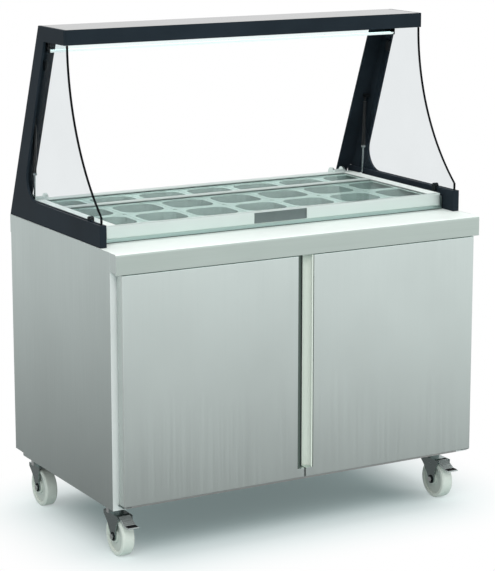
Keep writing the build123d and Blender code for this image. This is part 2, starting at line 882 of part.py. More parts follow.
def door_gasket(side):
    with BuildPart() as gasket:
        with BuildSketch(Plane.XZ.offset(-door_back_y)):
            with Locations((side * (gasket_left + gasket_right) / 2, (gasket_low + gasket_high) / 2)):
                Rectangle(gasket_right - gasket_left, gasket_high - gasket_low)
                Rectangle(
                    gasket_right - gasket_left - 2 * gasket_width,
                    gasket_high - gasket_low - 2 * gasket_width,
                    mode=Mode.SUBTRACT,
                )
        extrude(amount=-(flange_y - gasket_clearance - door_back_y))
    return gasket


for name, side in SIDES:
    save(door_panel(side), f"door_{name}_panel")
    save(door_grip(side), f"door_{name}_grip")
    save(door_gasket(side), f"door_{name}_gasket")

# Door hinges: a plate and a pin above and below each door
with BuildPart() as door_hinges:
    for _, side in SIDES:
        for plate_low, pin_from, pin_to in (
            (door_low - hinge_plate - hinge_washer, door_low - hinge_washer, door_low + hinge_pin_depth),
            (worktop_underside - hinge_plate, worktop_underside - hinge_plate, door_high - hinge_pin_depth),
        ):
            block(
                (side * (hinge_x - hinge_plate_width / 2), hinge_y - hinge_pin, plate_low),
                (side * (hinge_x + hinge_plate_width / 2), flange_y, plate_low + hinge_plate),
            )
            with BuildSketch(Plane.XY.offset(pin_from)):
                with Locations((side * hinge_x, hinge_y)):
                    Circle(hinge_pin / 2)
            extrude(amount=pin_to - pin_from)
save(door_hinges, "door_hinges")

# Lid: frame, front bar, handle and panes
lid_half = base_inner - lid_side_gap
lid_low = collar_top + lid_seat_gap
lid_top = lid_low + lid_frame_height
lid_hinge_y = well_rear_y + lid_hinge_offset
lid_hinge_z = collar_top + lid_hinge_rise
lid_rear_y = lid_hinge_y - lid_barrel / 2 - lid_tongue
lid_bar_back = collar_front_y - lid_bar_gap
lid_bar_front = lid_bar_back - lid_bar_depth
lid_bar_low = worktop_top + lid_bar_lift
cross_rear = lid_hinge_y - lid_cross_from_rear
window_half = lid_half - lid_border
windows = (
    (lid_bar_back, cross_rear - lid_cross_bar),
    (cross_rear, lid_rear_y - lid_rear_bar),
)
strut_x = web_inner - strut_x_gap
strut_lower = (lid_hinge_y - strut_arm, collar_top + strut_lower_rise)
strut_upper_z = base_top + strut_rise
strut_upper = (rear_line(strut_upper_z) - flange_thickness - strut_flange_gap, strut_upper_z)
barrel_outer = lid_half - lid_barrel_inset
rear_bar_front = lid_rear_y - lid_rear_bar
with BuildPart() as lid_side_bars:
    for _, side in SIDES:
        block((side * window_half, lid_bar_back, lid_low), (side * lid_half, rear_bar_front, lid_top))
        stud_end = strut_x - strut_eye_width / 2 - ear_gap
        rod_along_x(side * lid_half, side * stud_end, *strut_lower, lid_stud_d / 2)
save(lid_side_bars, "lid_side_bars")

with BuildPart() as lid_cross_bars:
    block((-window_half, cross_rear - lid_cross_bar, lid_low), (window_half, cross_rear, lid_top))
    block((-lid_half, rear_bar_front, lid_low), (lid_half, lid_rear_y, lid_top))
    for _, side in SIDES:
        barrel_inner = barrel_outer - lid_barrel_length
        block(
            (side * barrel_outer, lid_rear_y - lid_tongue, lid_low),
            (side * barrel_inner, lid_hinge_y, lid_low + lid_frame_height / 2),
        )
        rod_along_x(side * barrel_outer, side * barrel_inner, lid_hinge_y, lid_hinge_z, lid_barrel / 2)
        rod_along_x(
            side * barrel_outer,
            side * barrel_inner,
            lid_hinge_y,
            lid_hinge_z,
            hinge_pin / 2 + running_clearance,
            mode=Mode.SUBTRACT,
        )
save(lid_cross_bars, "lid_cross_bars")

handle_z = (lid_bar_low + lid_top) / 2
with BuildPart() as lid_front_bar:
    block((-lid_half, lid_bar_front, lid_bar_low), (lid_half, lid_bar_back, lid_top))
    front_face = lid_front_bar.faces().sort_by(Axis.Y)[0]
    fillet(front_face.edges(), lid_bar_radius)
    block(
        (-lid_handle_width / 2, lid_bar_front, handle_z - lid_handle_height / 2),
        (lid_handle_width / 2, lid_bar_front + lid_handle_depth, handle_z + lid_handle_height / 2),
        mode=Mode.SUBTRACT,
    )
save(lid_front_bar, "lid_front_bar")

with BuildPart() as lid_handle:
    with BuildSketch(Plane.YZ.offset(-lid_handle_width / 2)):
        with BuildLine():
            handle_front = lid_bar_front + lid_handle_reveal
            handle_back = lid_bar_front + lid_handle_depth
            handle_low = handle_z - lid_handle_height / 2
            handle_high = handle_z + lid_handle_height / 2
            Polyline(
                (handle_front, handle_low),
                (handle_back, handle_low),
                (handle_back, handle_high),
                (handle_front, handle_high),
                (handle_front, handle_high - lid_handle_lip),
            )
            ThreePointArc(
                (handle_front, handle_high - lid_handle_lip),
                (handle_front + lid_handle_depth / 3, handle_z),
                (handle_front, handle_low),
            )
        make_face()
    extrude(amount=lid_handle_width)
save(lid_handle, "lid_handle")

with BuildPart() as lid_panes:
    for front, rear in windows:
        block(
            (-window_half, front, lid_low + lid_pane_lift),
            (window_half, rear, lid_low + lid_pane_lift + lid_pane_thickness),
        )
save(lid_panes, "lid_panes")

# Hinge ears with their pins, on the collar behind the lid
ear_front_y = lid_hinge_y - lid_barrel / 2
ear_rear_y = rear_line(collar_top + ear_height) - flange_thickness - ear_flange_gap
with BuildPart() as lid_hinge_brackets:
    for _, side in SIDES:
        outer_ear = side * (barrel_outer + ear_gap)
        inner_ear = side * (barrel_outer - lid_barrel_length - ear_gap)
        for ear_x, outward in ((outer_ear, side), (inner_ear, -side)):
            with BuildSketch(Plane.YZ.offset(ear_x)):
                with BuildLine():
                    Line((ear_front_y, collar_top), (ear_rear_y, collar_top))
                    ThreePointArc(
                        (ear_rear_y, collar_top),
                        ((ear_front_y + ear_rear_y) / 2, collar_top + ear_height),
                        (ear_front_y, collar_top),
                    )
                make_face()
            extrude(amount=outward * ear_thickness)
        rod_along_x(outer_ear, inner_ear, lid_hinge_y, lid_hinge_z, hinge_pin / 2)
save(lid_hinge_brackets, "lid_hinge_brackets")

# Gas struts between the uprights and the lid
strut_dy = strut_lower[0] - strut_upper[0]
strut_dz = strut_lower[1] - strut_upper[1]
strut_length = hypot(strut_dy, strut_dz)
strut_direction = (0, strut_dy / strut_length, strut_dz / strut_length)


def strut_plane(side, along):
    """Plane across a strut at a distance from its upper pivot."""
    start = (side * strut_x, strut_upper[0], strut_upper[1])
    return Plane(
        origin=tuple(p + along * d for p, d in zip(start, strut_direction)),
        x_dir=(1, 0, 0),
        z_dir=strut_direction,
    )


def strut_cylinder(side):
    with BuildPart() as cylinder:
        rod_along_x(
            side * strut_x - strut_eye_width / 2, side * strut_x + strut_eye_width / 2, *strut_upper, strut_eye_d / 2 + 1
        )
        with BuildSketch(strut_plane(side, 0)):
            Circle(0.8 * strut_rod_d / 2)
        extrude(amount=strut_neck)
        with BuildSketch(strut_plane(side, strut_neck)):
            Circle(strut_cylinder_d / 2)
        extrude(amount=strut_cylinder_length)
        with BuildSketch(strut_plane(side, strut_neck + strut_rod_d)):
            Circle(strut_rod_d / 2 + running_clearance)
        extrude(amount=strut_cylinder_length - strut_rod_d, mode=Mode.SUBTRACT)
        rod_along_x(
            side * strut_x - strut_eye_width / 2,
            side * strut_x + strut_eye_width / 2,
            *strut_upper,
            strut_stud_d / 2 + running_clearance,
            mode=Mode.SUBTRACT,
        )
    return cylinder


def strut_rod(side):
    rod_start = strut_neck + strut_cylinder_length - strut_rod_overlap
    with BuildPart() as rod:
        with BuildSketch(strut_plane(side, rod_start)):
            Circle(strut_rod_d / 2)
        extrude(amount=strut_length - rod_start)
        rod_along_x(
            side * strut_x - strut_eye_width / 2, side * strut_x + strut_eye_width / 2, *strut_lower, strut_eye_d / 2
        )
    return rod


for name, side in SIDES:
    save(strut_cylinder(side), f"strut_{name}_cylinder")
    save(strut_rod(side), f"strut_{name}_rod")

# Studs on the uprights that carry the struts
with BuildPart() as strut_studs:
    for _, side in SIDES:
        eye_outer = strut_x + strut_eye_width / 2 + ear_gap
        rod_along_x(side * glass_inner, side * (strut_x - strut_eye_width / 2), *strut_upper, strut_stud_d / 2)
        rod_along_x(side * glass_inner, side * eye_outer, *strut_upper, strut_head_d / 2)
save(strut_studs, "strut_studs")

# Casters: fixed plate, turning fork, wheel, and a brake pedal on the front pair
wheel_radius = wheel_diameter / 2
crown_low = wheel_diameter + fork_top_gap
crown_high = crown_low + fork_sheet
race_low_top = crown_high + race_height
leg_x = wheel_width / 2 + fork_side_gap
caster_x = half_width - caster_inset_x
wheel_depths = {"front": flange_y + front_wheel_setback, "rear": panel_rear_y - rear_wheel_inset}
CASTERS = [
    (f"{end}_{name}", side * caster_x, wheel_depths[end], end) for end in ("front", "rear") for name, side in SIDES
]
pedal_pivot_z = wheel_radius + pedal_pivot_rise

with BuildPart() as caster_plates:
    for _, x, wheel_y, _ in CASTERS:
        swivel_y = wheel_y + caster_trail
        block(
            (x - plate_width / 2, swivel_y - plate_length / 2, body_bottom - plate_thickness),
            (x + plate_width / 2, swivel_y + plate_length / 2, body_bottom),
        )
        with BuildSketch(Plane.XY.offset(race_low_top + race_gap)):
            with Locations((x, swivel_y)):
                Circle(race_radius + race_flange)
        extrude(amount=body_bottom - race_low_top - race_gap)
        with BuildSketch(Plane.XY.offset(crown_low)):
            with Locations((x, swivel_y)):
                Circle(kingpin_d / 2)
        extrude(amount=body_bottom - crown_low)
save(caster_plates, "caster_plates")


def caster_fork(x, wheel_y, braked):
    swivel_y = wheel_y + caster_trail
    front_y = wheel_y - pedal_pivot_ahead - pedal_pin_d if braked else wheel_y - pedal_pivot_ahead / 2
    back_y = swivel_y + race_radius
    boss = 1.5 * axle_d
    with BuildPart() as fork:
        for side in (-1, 1):
            with BuildSketch(Plane.YZ.offset(x + side * leg_x)):
                with BuildLine():
                    shoulder = crown_high - 2 * pedal_pin_d
                    Polyline(
                        (back_y, shoulder),
                        (back_y, crown_high),
                        (front_y, crown_high),
                        (front_y, shoulder),
                    )
                    SagittaArc((front_y, shoulder), (wheel_y - boss, wheel_radius), fork_hollow)
                    Line((wheel_y - boss, wheel_radius), (wheel_y + boss, wheel_radius))
                    SagittaArc((wheel_y + boss, wheel_radius), (back_y, shoulder), fork_hollow)
                make_face()
                with Locations((wheel_y, wheel_radius)):
                    Circle(boss)
            extrude(amount=side * fork_sheet)
            with BuildSketch(Plane.YZ.offset(x + side * (leg_x + fork_sheet))):
                with Locations((wheel_y, wheel_radius)):
                    RegularPolygon(0.9 * axle_d, 6)
            extrude(amount=side * 0.6 * axle_d)
        block(
            (x - leg_x - fork_sheet, wheel_y - pedal_pivot_ahead / 2, crown_low),
            (x + leg_x + fork_sheet, back_y, crown_high),
        )
        with BuildSketch(Plane.XY.offset(crown_low)):
            with Locations((x, swivel_y)):
                Circle(race_radius)
        extrude(amount=race_low_top - crown_low)
        with BuildSketch(Plane.XY.offset(crown_low)):
            with Locations((x, swivel_y)):
                Circle(kingpin_d / 2 + running_clearance)
        extrude(amount=race_low_top - crown_low, mode=Mode.SUBTRACT)
        rod_along_x(x - leg_x, x + leg_x, wheel_y, wheel_radius, axle_d / 2)
        if braked:
            rod_along_x(x - leg_x, x + leg_x, wheel_y - pedal_pivot_ahead, pedal_pivot_z, pedal_pin_d / 2)
    return fork


def caster_wheel(x, wheel_y):
    half = wheel_width / 2
    with BuildPart() as wheel:
        with BuildSketch(Plane(origin=(x, wheel_y, wheel_radius), x_dir=(1, 0, 0), z_dir=(0, -1, 0))):
            with BuildLine():
                right = [
                    (half, axle_d / 2 + running_clearance),
                    (half, wheel_hub_d / 2),
                    (half - wheel_dish, wheel_hub_d / 2),
                    (half - wheel_dish, wheel_radius - wheel_rim),
                    (half, wheel_radius - wheel_rim),
                    (half, wheel_radius - wheel_crown),
                    (half - wheel_crown, wheel_radius),
                ]
                left = [(-along, radius) for along, radius in reversed(right)]
                Polyline(*right, *left, close=True)
            make_face()
        revolve(axis=Axis((x, wheel_y, wheel_radius), (1, 0, 0)))
    return wheel


def brake_pedal(x, wheel_y):
    pivot_y = wheel_y - pedal_pivot_ahead
    sleeve = pedal_pin_d / 2 + pedal_sleeve
    tip_y = pivot_y - pedal_length
    tip_top = pedal_pivot_z - pedal_drop
    with BuildPart() as pedal:
        with BuildSketch(Plane.YZ.offset(x - pedal_width / 2)):
            with BuildLine():
                Polyline(
                    (pivot_y, pedal_pivot_z + sleeve),
                    (tip_y + pedal_lip, tip_top),
                    (tip_y, tip_top),
                    (tip_y, tip_top - pedal_sheet),
                    (tip_y + pedal_lip, tip_top - pedal_sheet),
                    (pivot_y, pedal_pivot_z + sleeve - 2 * pedal_sheet),
                    close=True,
                )
            make_face()
            with Locations((pivot_y, pedal_pivot_z)):
                Circle(sleeve)
                Circle(pedal_pin_d / 2 + running_clearance, mode=Mode.SUBTRACT)
        extrude(amount=pedal_width)
    return pedal


for name, x, wheel_y, end in CASTERS:
    braked = end == "front"
    save(caster_fork(x, wheel_y, braked), f"caster_{name}_fork")
    save(caster_wheel(x, wheel_y), f"caster_{name}_wheel")
    if braked:
        save(brake_pedal(x, wheel_y), f"caster_{name}_pedal")

strut_angle = degrees(atan2(strut_dy, -strut_dz))
print(f"pans {pan_columns} x {pan_rows}, strut {strut_length:.1f} mm long, leaning {strut_angle:.1f} degrees")
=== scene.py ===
import logging
import math
from dataclasses import dataclass, field
from enum import Enum
from typing import Callable, ClassVar, Iterable, Sequence

import bpy
from mathutils import Euler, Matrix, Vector


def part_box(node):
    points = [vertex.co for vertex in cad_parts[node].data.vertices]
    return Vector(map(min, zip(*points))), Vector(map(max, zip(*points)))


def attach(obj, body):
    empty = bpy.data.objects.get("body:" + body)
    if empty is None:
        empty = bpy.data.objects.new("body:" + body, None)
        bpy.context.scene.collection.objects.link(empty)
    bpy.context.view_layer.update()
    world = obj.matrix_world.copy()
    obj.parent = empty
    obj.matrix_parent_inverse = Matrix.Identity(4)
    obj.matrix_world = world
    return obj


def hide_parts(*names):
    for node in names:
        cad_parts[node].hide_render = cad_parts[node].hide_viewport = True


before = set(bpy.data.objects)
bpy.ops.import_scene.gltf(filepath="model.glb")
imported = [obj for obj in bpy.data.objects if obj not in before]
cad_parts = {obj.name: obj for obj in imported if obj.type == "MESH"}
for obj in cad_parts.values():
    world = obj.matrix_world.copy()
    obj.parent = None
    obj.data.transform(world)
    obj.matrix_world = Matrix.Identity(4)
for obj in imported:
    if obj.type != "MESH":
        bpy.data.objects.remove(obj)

LOG = logging.getLogger("salad_bar")
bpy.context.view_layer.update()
Colour = tuple[float, float, float]
Point = tuple[float, float, float]

# Middle part of a noise, which carries most of its values
NOISE_LOW, NOISE_HIGH = 0.3, 0.7
BUMP_STRENGTH = 0.6

# Depths of surface textures in metres
BRUSH_DEPTH = 0.000006
PEEL_DEPTH = 0.00004
MOULD_DEPTH = 0.00005

# Angles and reach for cleaning and smoothing meshes
BEVEL_ANGLE = math.radians(28)
SMOOTH_ANGLE = math.radians(32)
FLAT_ANGLE = math.radians(0.6)
MERGE_REACH = 0.00002

# Softened edges of rings and borders, as shares of their height
RING_EDGE = 0.12
BORDER_EDGE = 0.25

# How squarely a face has to look along an axis
LEANING = 0.5
SLOPING = 0.6
FACING = 0.75
FLAT = 0.9

WHITE = (1.0, 1.0, 1.0, 1.0)


class Grain(Enum):
    """Direction in which a sheet was brushed."""

    ALONG_X = (3.0, 260.0, 260.0)
    ALONG_Y = (260.0, 3.0, 260.0)
    ALONG_Z = (260.0, 260.0, 3.0)


class Edge(Enum):
    """Width of a softened edge in metres."""

    NONE = 0.0
    CAST = 0.0003
    HAIR = 0.0004
    FITTING = 0.0005
    THIN = 0.0006
    SHEET = 0.0008
    BAR = 0.001
    FOLD = 0.0012
    SOFT = 0.0015


class Wiring:
    """One material's node tree, with short calls to add and join nodes."""

    def __init__(self, name: str) -> None:
        """Start an empty material.

        Args:
            name: Name of the new material.
        """
        self.material = bpy.data.materials.new(name)
        self.material.use_nodes = True
        self.tree = self.material.node_tree
        self.tree.nodes.clear()
        self.output = self.tree.nodes.new("ShaderNodeOutputMaterial")

    def add(self, kind: str, **sockets: object) -> bpy.types.Node:
        """Add one node and set its input sockets.

        Args:
            kind: Node type without its prefix.
            sockets: Socket values, with underscores for spaces in their names.

        Returns:
            The new node.
        """
        node = self.tree.nodes.new(f"ShaderNode{kind}")
        for key, value in sockets.items():
            node.inputs[key.replace("_", " ")].default_value = value
        return node

    def join(self, source: bpy.types.NodeSocket, target: bpy.types.NodeSocket) -> None:
        """Link two sockets."""
        self.tree.links.new(source, target)

    def noise(self, scale: Sequence[float], detail: float, rough: float = 0.55) -> bpy.types.NodeSocket:
        """Noise on Object coordinates, stretched by a scale for each axis.

        Args:
            scale: Repeats per metre along X, Y and Z.
            detail: Octaves of the noise.
            rough: How strong the fine octaves are.

        Returns:
            The factor socket.
        """
        place = self.add("TexCoord")
        mapping = self.add("Mapping", Scale=tuple(scale))
        self.join(place.outputs["Object"], mapping.inputs["Vector"])
        noise = self.add("TexNoise", Scale=1.0, Detail=detail, Roughness=rough)
        self.join(mapping.outputs["Vector"], noise.inputs["Vector"])
        return noise.outputs["Fac"]

    def spread(self, source: bpy.types.NodeSocket, low: float, high: float) -> bpy.types.NodeSocket:
        """Map the middle of a noise to a range of values.

        Args:
            source: Factor socket.
            low: Value for the dark side.
            high: Value for the light side.

        Returns:
            The mapped socket.
        """
        node = self.add("MapRange", From_Min=NOISE_LOW, From_Max=NOISE_HIGH, To_Min=low, To_Max=high)
        self.join(source, node.inputs["Value"])
        return node.outputs["Result"]

    def tint(self, source: bpy.types.NodeSocket, dark: Colour, light: Colour) -> bpy.types.NodeSocket:
        """Colour between two shades, following a factor.

        Args:
            source: Factor socket.
            dark: Colour at the low end.
            light: Colour at the high end.

        Returns:
            The colour socket.
        """
        node = self.add("ValToRGB")
        low, high = node.color_ramp.elements
        low.position, low.color = NOISE_LOW, (*dark, 1.0)
        high.position, high.color = NOISE_HIGH, (*light, 1.0)
        self.join(source, node.inputs["Fac"])
        return node.outputs["Color"]

    def bump(self, source: bpy.types.NodeSocket, depth: float) -> bpy.types.NodeSocket:
        """Surface normal shaken by a factor.

        Args:
            source: Height socket.
            depth: Height in metres.

        Returns:
            The normal socket.
        """
        node = self.add("Bump", Strength=BUMP_STRENGTH, Distance=depth)
        self.join(source, node.inputs["Height"])
        return node.outputs["Normal"]

    def vector_step(
        self, operation: str, source: bpy.types.NodeSocket, second: Point | None = None
    ) -> bpy.types.NodeSocket:
        """One step of vector arithmetic.

        Args:
            operation: What to do with the vector.
            source: Vector socket.
            second: Fixed second vector, where the step takes one.

        Returns:
            The socket with the result.
        """
        node = self.add("VectorMath")
        node.operation = operation
        self.join(source, node.inputs[0])
        if second is not None:
            node.inputs[1].default_value = second
        return node.outputs["Value" if operation == "LENGTH" else "Vector"]

    def mix(
        self, factor: bpy.types.NodeSocket, first: bpy.types.Node, second: bpy.types.Node
    ) -> bpy.types.Node:
        """Blend of two shaders.

        Args:
            factor: Share of the second shader.
            first: Shader at zero.
            second: Shader at one.

        Returns:
            The blending node.
        """
        node = self.add("MixShader")
        self.join(factor, node.inputs["Fac"])
        self.join(first.outputs[0], node.inputs[1])
        self.join(second.outputs[0], node.inputs[2])
        return node

    def finish(self, shader: bpy.types.Node) -> bpy.types.Material:
        """Join a shader to the output and hand back the material."""
        self.join(shader.outputs[0], self.output.inputs["Surface"])
        return self.material


def shade(colour: Colour, factor: float) -> Colour:
    """Colour made darker or lighter by a factor."""
    return tuple(min(1.0, channel * factor) for channel in colour)


@dataclass(frozen=True)
class Finish:
    """A named surface finish that is built once and shared."""

    name: str
    colour: Colour
    made: ClassVar[dict[str, bpy.types.Material]] = {}

    def material(self) -> bpy.types.Material:
        """The finish as a Blender material, built on first use."""
        if self.name not in Finish.made:
            Finish.made[self.name] = self.build()
        return Finish.made[self.name]

    def shades(self, low: float, high: float) -> tuple[Colour, Colour]:
        """The finish's colour at its darkest and at its lightest.

        Args:
            low: Factor for the dark side.
            high: Factor for the light side.

        Returns:
            The two colours.
        """
        return shade(self.colour, low), shade(self.colour, high)

    def build(self) -> bpy.types.Material:
        """Build the material; each kind of finish has its own way."""
        raise NotImplementedError


@dataclass(frozen=True)
class BrushedSteel(Finish):
    """Brushed sheet metal with fine grain lines and faint cloudy wear."""

    grain: Grain = Grain.ALONG_Z
    roughness: float = 0.3
    depth: float = 0.00002
    metal: float = 1.0
    gloss: float = 0.5
    cloud_scale: ClassVar[Point] = (2.1, 2.3, 1.7)
    clouding: ClassVar[tuple[float, float]] = (0.95, 1.04)
    duller: ClassVar[float] = 0.08
    brighter: ClassVar[float] = 0.06

    def build(self) -> bpy.types.Material:
        """Grain lines shake roughness and normal, clouds shake the colour."""
        w = Wiring(self.name)
        lines = w.noise(self.grain.value, detail=4.0)
        clouds = w.noise(self.cloud_scale, detail=3.0)
        shader = w.add("BsdfPrincipled", Metallic=self.metal, Specular_IOR_Level=self.gloss)
        sheen = w.spread(lines, self.roughness - self.brighter, self.roughness + self.duller)
        w.join(w.tint(clouds, *self.shades(*self.clouding)), shader.inputs["Base Color"])
        w.join(sheen, shader.inputs["Roughness"])
        w.join(w.bump(lines, self.depth), shader.inputs["Normal"])
        return w.finish(shader)


@dataclass(frozen=True)
class PaintedMetal(Finish):
    """Powder coat with a slight orange peel and uneven sheen."""

    roughness: float = 0.42
    peel: float = 900.0
    gloss: float = 0.25
    cloud_scale: ClassVar[Point] = (5.0, 5.0, 5.0)
    clouding: ClassVar[tuple[float, float]] = (0.85, 1.15)
    uneven: ClassVar[float] = 0.05

    def build(self) -> bpy.types.Material:
        """Fine noise gives the peel, slow noise the uneven sheen."""
        w = Wiring(self.name)
        peel = w.noise((self.peel,) * 3, detail=2.0)
        clouds = w.noise(self.cloud_scale, detail=3.0)
        shader = w.add("BsdfPrincipled", Metallic=0.0, IOR=1.5, Specular_IOR_Level=self.gloss)
        sheen = w.spread(clouds, self.roughness - self.uneven, self.roughness + self.uneven)
        w.join(w.tint(clouds, *self.shades(*self.clouding)), shader.inputs["Base Color"])
        w.join(sheen, shader.inputs["Roughness"])
        w.join(w.bump(peel, PEEL_DEPTH), shader.inputs["Normal"])
        return w.finish(shader)


@dataclass(frozen=True)
class MouldedPlastic(Finish):
    """Moulded plastic with a fine texture and a little scuffing."""

    roughness: float = 0.5
    grain: float = 700.0
    gloss: float = 0.4
    wear: float = 0.08
    scuff_scale: ClassVar[Point] = (24.0, 24.0, 24.0)

    def build(self) -> bpy.types.Material:
        """Fine texture for the normal, slow noise for colour and sheen."""
        w = Wiring(self.name)
        fine = w.noise((self.grain,) * 3, detail=3.0)
        scuff = w.noise(self.scuff_scale, detail=5.0, rough=0.7)
        shader = w.add("BsdfPrincipled", Metallic=0.0, IOR=1.47, Specular_IOR_Level=self.gloss)
        sheen = w.spread(scuff, self.roughness - self.wear, self.roughness + self.wear)
        worn_and_fresh = self.shades(1 - self.wear, 1 + self.wear / 2)
        w.join(w.tint(scuff, *worn_and_fresh), shader.inputs["Base Color"])
        w.join(sheen, shader.inputs["Roughness"])
        w.join(w.bump(fine, MOULD_DEPTH), shader.inputs["Normal"])
        return w.finish(shader)


@dataclass(frozen=True)
class ClearGlass(Finish):
    """Toughened glass that lets shadow rays through."""

    bend: float = 1.5
    smear_scale: ClassVar[Point] = (6.0, 6.0, 6.0)
    smearing: ClassVar[tuple[float, float]] = (0.985, 1.01)
    shadow: ClassVar[float] = 0.97

    def build(self) -> bpy.types.Material:
        """Clear refracting body; light on its way to a lamp passes straight."""
        w = Wiring(self.name)
        smear = w.noise(self.smear_scale, detail=3.0)
        glass = w.add("BsdfPrincipled", Metallic=0.0, Roughness=0.0, IOR=self.bend, Transmission_Weight=1.0)
        w.join(w.tint(smear, *self.shades(*self.smearing)), glass.inputs["Base Color"])
        clear = w.add("BsdfTransparent", Color=(*shade(self.colour, self.shadow), 1.0))
        path = w.add("LightPath")
        return w.finish(w.mix(path.outputs["Is Shadow Ray"], glass, clear))


@dataclass(frozen=True)
class OpalLamp(Finish):
    """Opal diffuser of the lamp, softly lit."""

    strength: float = 1.2
    spot_scale: ClassVar[Point] = (30.0, 4.0, 4.0)
    spotting: ClassVar[tuple[float, float]] = (0.94, 1.0)

    def build(self) -> bpy.types.Material:
        """White body with a steady glow and faint unevenness along the tube."""
        w = Wiring(self.name)
        spots = w.noise(self.spot_scale, detail=1.0)
        shader = w.add(
            "BsdfPrincipled", Metallic=0.0, Roughness=0.4,
            Emission_Strength=self.strength, Emission_Color=(*self.colour, 1.0),
        )
        w.join(w.tint(spots, *self.shades(*self.spotting)), shader.inputs["Base Color"])
        return w.finish(shader)


DOOR_STEEL = BrushedSteel("door_steel", (0.71, 0.80, 0.775), Grain.ALONG_Z, 0.36, BRUSH_DEPTH)
# Painted shade: a darker copy of the door steel for the doors' side faces.
DOOR_SIDE_SHADE = BrushedSteel("door_side_painted_shade", (0.60, 0.655, 0.635), Grain.ALONG_Z, 0.4, BRUSH_DEPTH)
WALL_STEEL = BrushedSteel("wall_steel", (0.475, 0.54, 0.525), Grain.ALONG_Z, 0.38, BRUSH_DEPTH)
# Painted highlight: a near-white copy of the wall steel for the side walls' front edges.
WALL_EDGE_HIGHLIGHT = BrushedSteel("wall_edge_painted_highlight", (0.93, 0.97, 0.95), Grain.ALONG_Z, 0.5, BRUSH_DEPTH, 0.3)
# Painted light: a near-white, non-metal copy of the steel for tops that catch the light; the lid's side bars
# take it too.
PALE_LIT_STEEL = BrushedSteel("pale_steel_painted_light", (0.86, 0.93, 0.895), Grain.ALONG_X, 0.5, BRUSH_DEPTH, 0.0, 0.4)
# Painted shade: a darker copy of the worktop steel for its front faces.
FASCIA_SHADE_STEEL = BrushedSteel("fascia_painted_shade", (0.56, 0.65, 0.61), Grain.ALONG_X, 0.4, BRUSH_DEPTH)
COLLAR_STEEL = BrushedSteel("collar_steel", (0.62, 0.71, 0.68), Grain.ALONG_X, 0.36, BRUSH_DEPTH)
# Painted shade: a darker teal copy of the collar steel for its front faces, under the lid's front bar.
COLLAR_FRONT_SHADE = BrushedSteel("collar_front_painted_shade", (0.47, 0.61, 0.585), Grain.ALONG_X, 0.4, BRUSH_DEPTH)
LINER_STEEL = BrushedSteel("liner_steel", (0.58, 0.61, 0.60), Grain.ALONG_X, 0.38)
RIM_STEEL = BrushedSteel("pan_rim_steel", (0.41, 0.465, 0.445), Grain.ALONG_X, 0.45, BRUSH_DEPTH, 0.12, 0.12)
# Darker steel for the pan bars and, below the rims, the pans' insides: painted shade in the pans.
PAN_DARK_STEEL = BrushedSteel("pan_steel", (0.30, 0.348, 0.335), Grain.ALONG_Y, 0.45, BRUSH_DEPTH, 0.12, 0.12)
LID_STEEL = BrushedSteel("lid_steel", (0.69, 0.785, 0.755), Grain.ALONG_X, 0.36, BRUSH_DEPTH)
CROSS_STEEL = BrushedSteel("lid_cross_steel", (0.52, 0.60, 0.575), Grain.ALONG_X, 0.4, BRUSH_DEPTH, 0.0, 0.2)
# Zinc plate darkened to stand for the dark surroundings it mirrors: painted reflection.
DARK_ZINC = BrushedSteel("zinc_painted_reflection", (0.28, 0.335, 0.33), Grain.ALONG_Y, 0.2)
BOLT_ZINC = BrushedSteel("bolt_zinc", (0.72, 0.75, 0.75), Grain.ALONG_X, 0.18)
PEDAL_ZINC = BrushedSteel("pedal_zinc", (0.70, 0.76, 0.75), Grain.ALONG_X, 0.25, BRUSH_DEPTH, 0.6)
# Chrome rod darkened to stand for the dark surroundings it mirrors: painted reflection.
ROD_REFLECTION_STEEL = BrushedSteel("rod_painted_reflection", (0.30, 0.34, 0.35), Grain.ALONG_Z, 0.14)
FIN_METAL = BrushedSteel("coil_fins", (0.66, 0.68, 0.68), Grain.ALONG_Z, 0.42)
FRAME_BLACK = PaintedMetal("frame_black", (0.020, 0.028, 0.036), 0.34, gloss=0.015)
# Painted sheen: a glossier copy of the frame paint for up-facing faces, so that they mirror the white
# surround more strongly.
FRAME_TOP_SHEEN = PaintedMetal("frame_top_painted_sheen", (0.02, 0.027, 0.03), 0.07, gloss=0.8)
MACHINE_BLACK = PaintedMetal("machine_black", (0.022, 0.022, 0.025), 0.5)
STRUT_BLACK = PaintedMetal("strut_black", (0.008, 0.010, 0.011), 0.3)
FITTING_BLACK = MouldedPlastic("fitting_black", (0.010, 0.013, 0.015), 0.42, gloss=0.08)
EDGING_BLACK = MouldedPlastic("edging_black", (0.004, 0.005, 0.006), 0.55, 900.0, 0.05)
RUBBER_BLACK = MouldedPlastic("pedal_rubber", (0.012, 0.013, 0.014), 0.7, 1400.0, 0.2)
HANDLE_GREY = MouldedPlastic("handle_grey", (0.135, 0.172, 0.17), 0.46)
GRIP_CREAM = MouldedPlastic("grip_cream", (0.82, 0.87, 0.79), 0.44, wear=0.02)
# Painted shade: a dark copy of the cream grip for the left door's grip, whose channel lies in shadow.
GRIP_SHADE = MouldedPlastic("grip_painted_shade", (0.085, 0.115, 0.10), 0.55, wear=0.02)
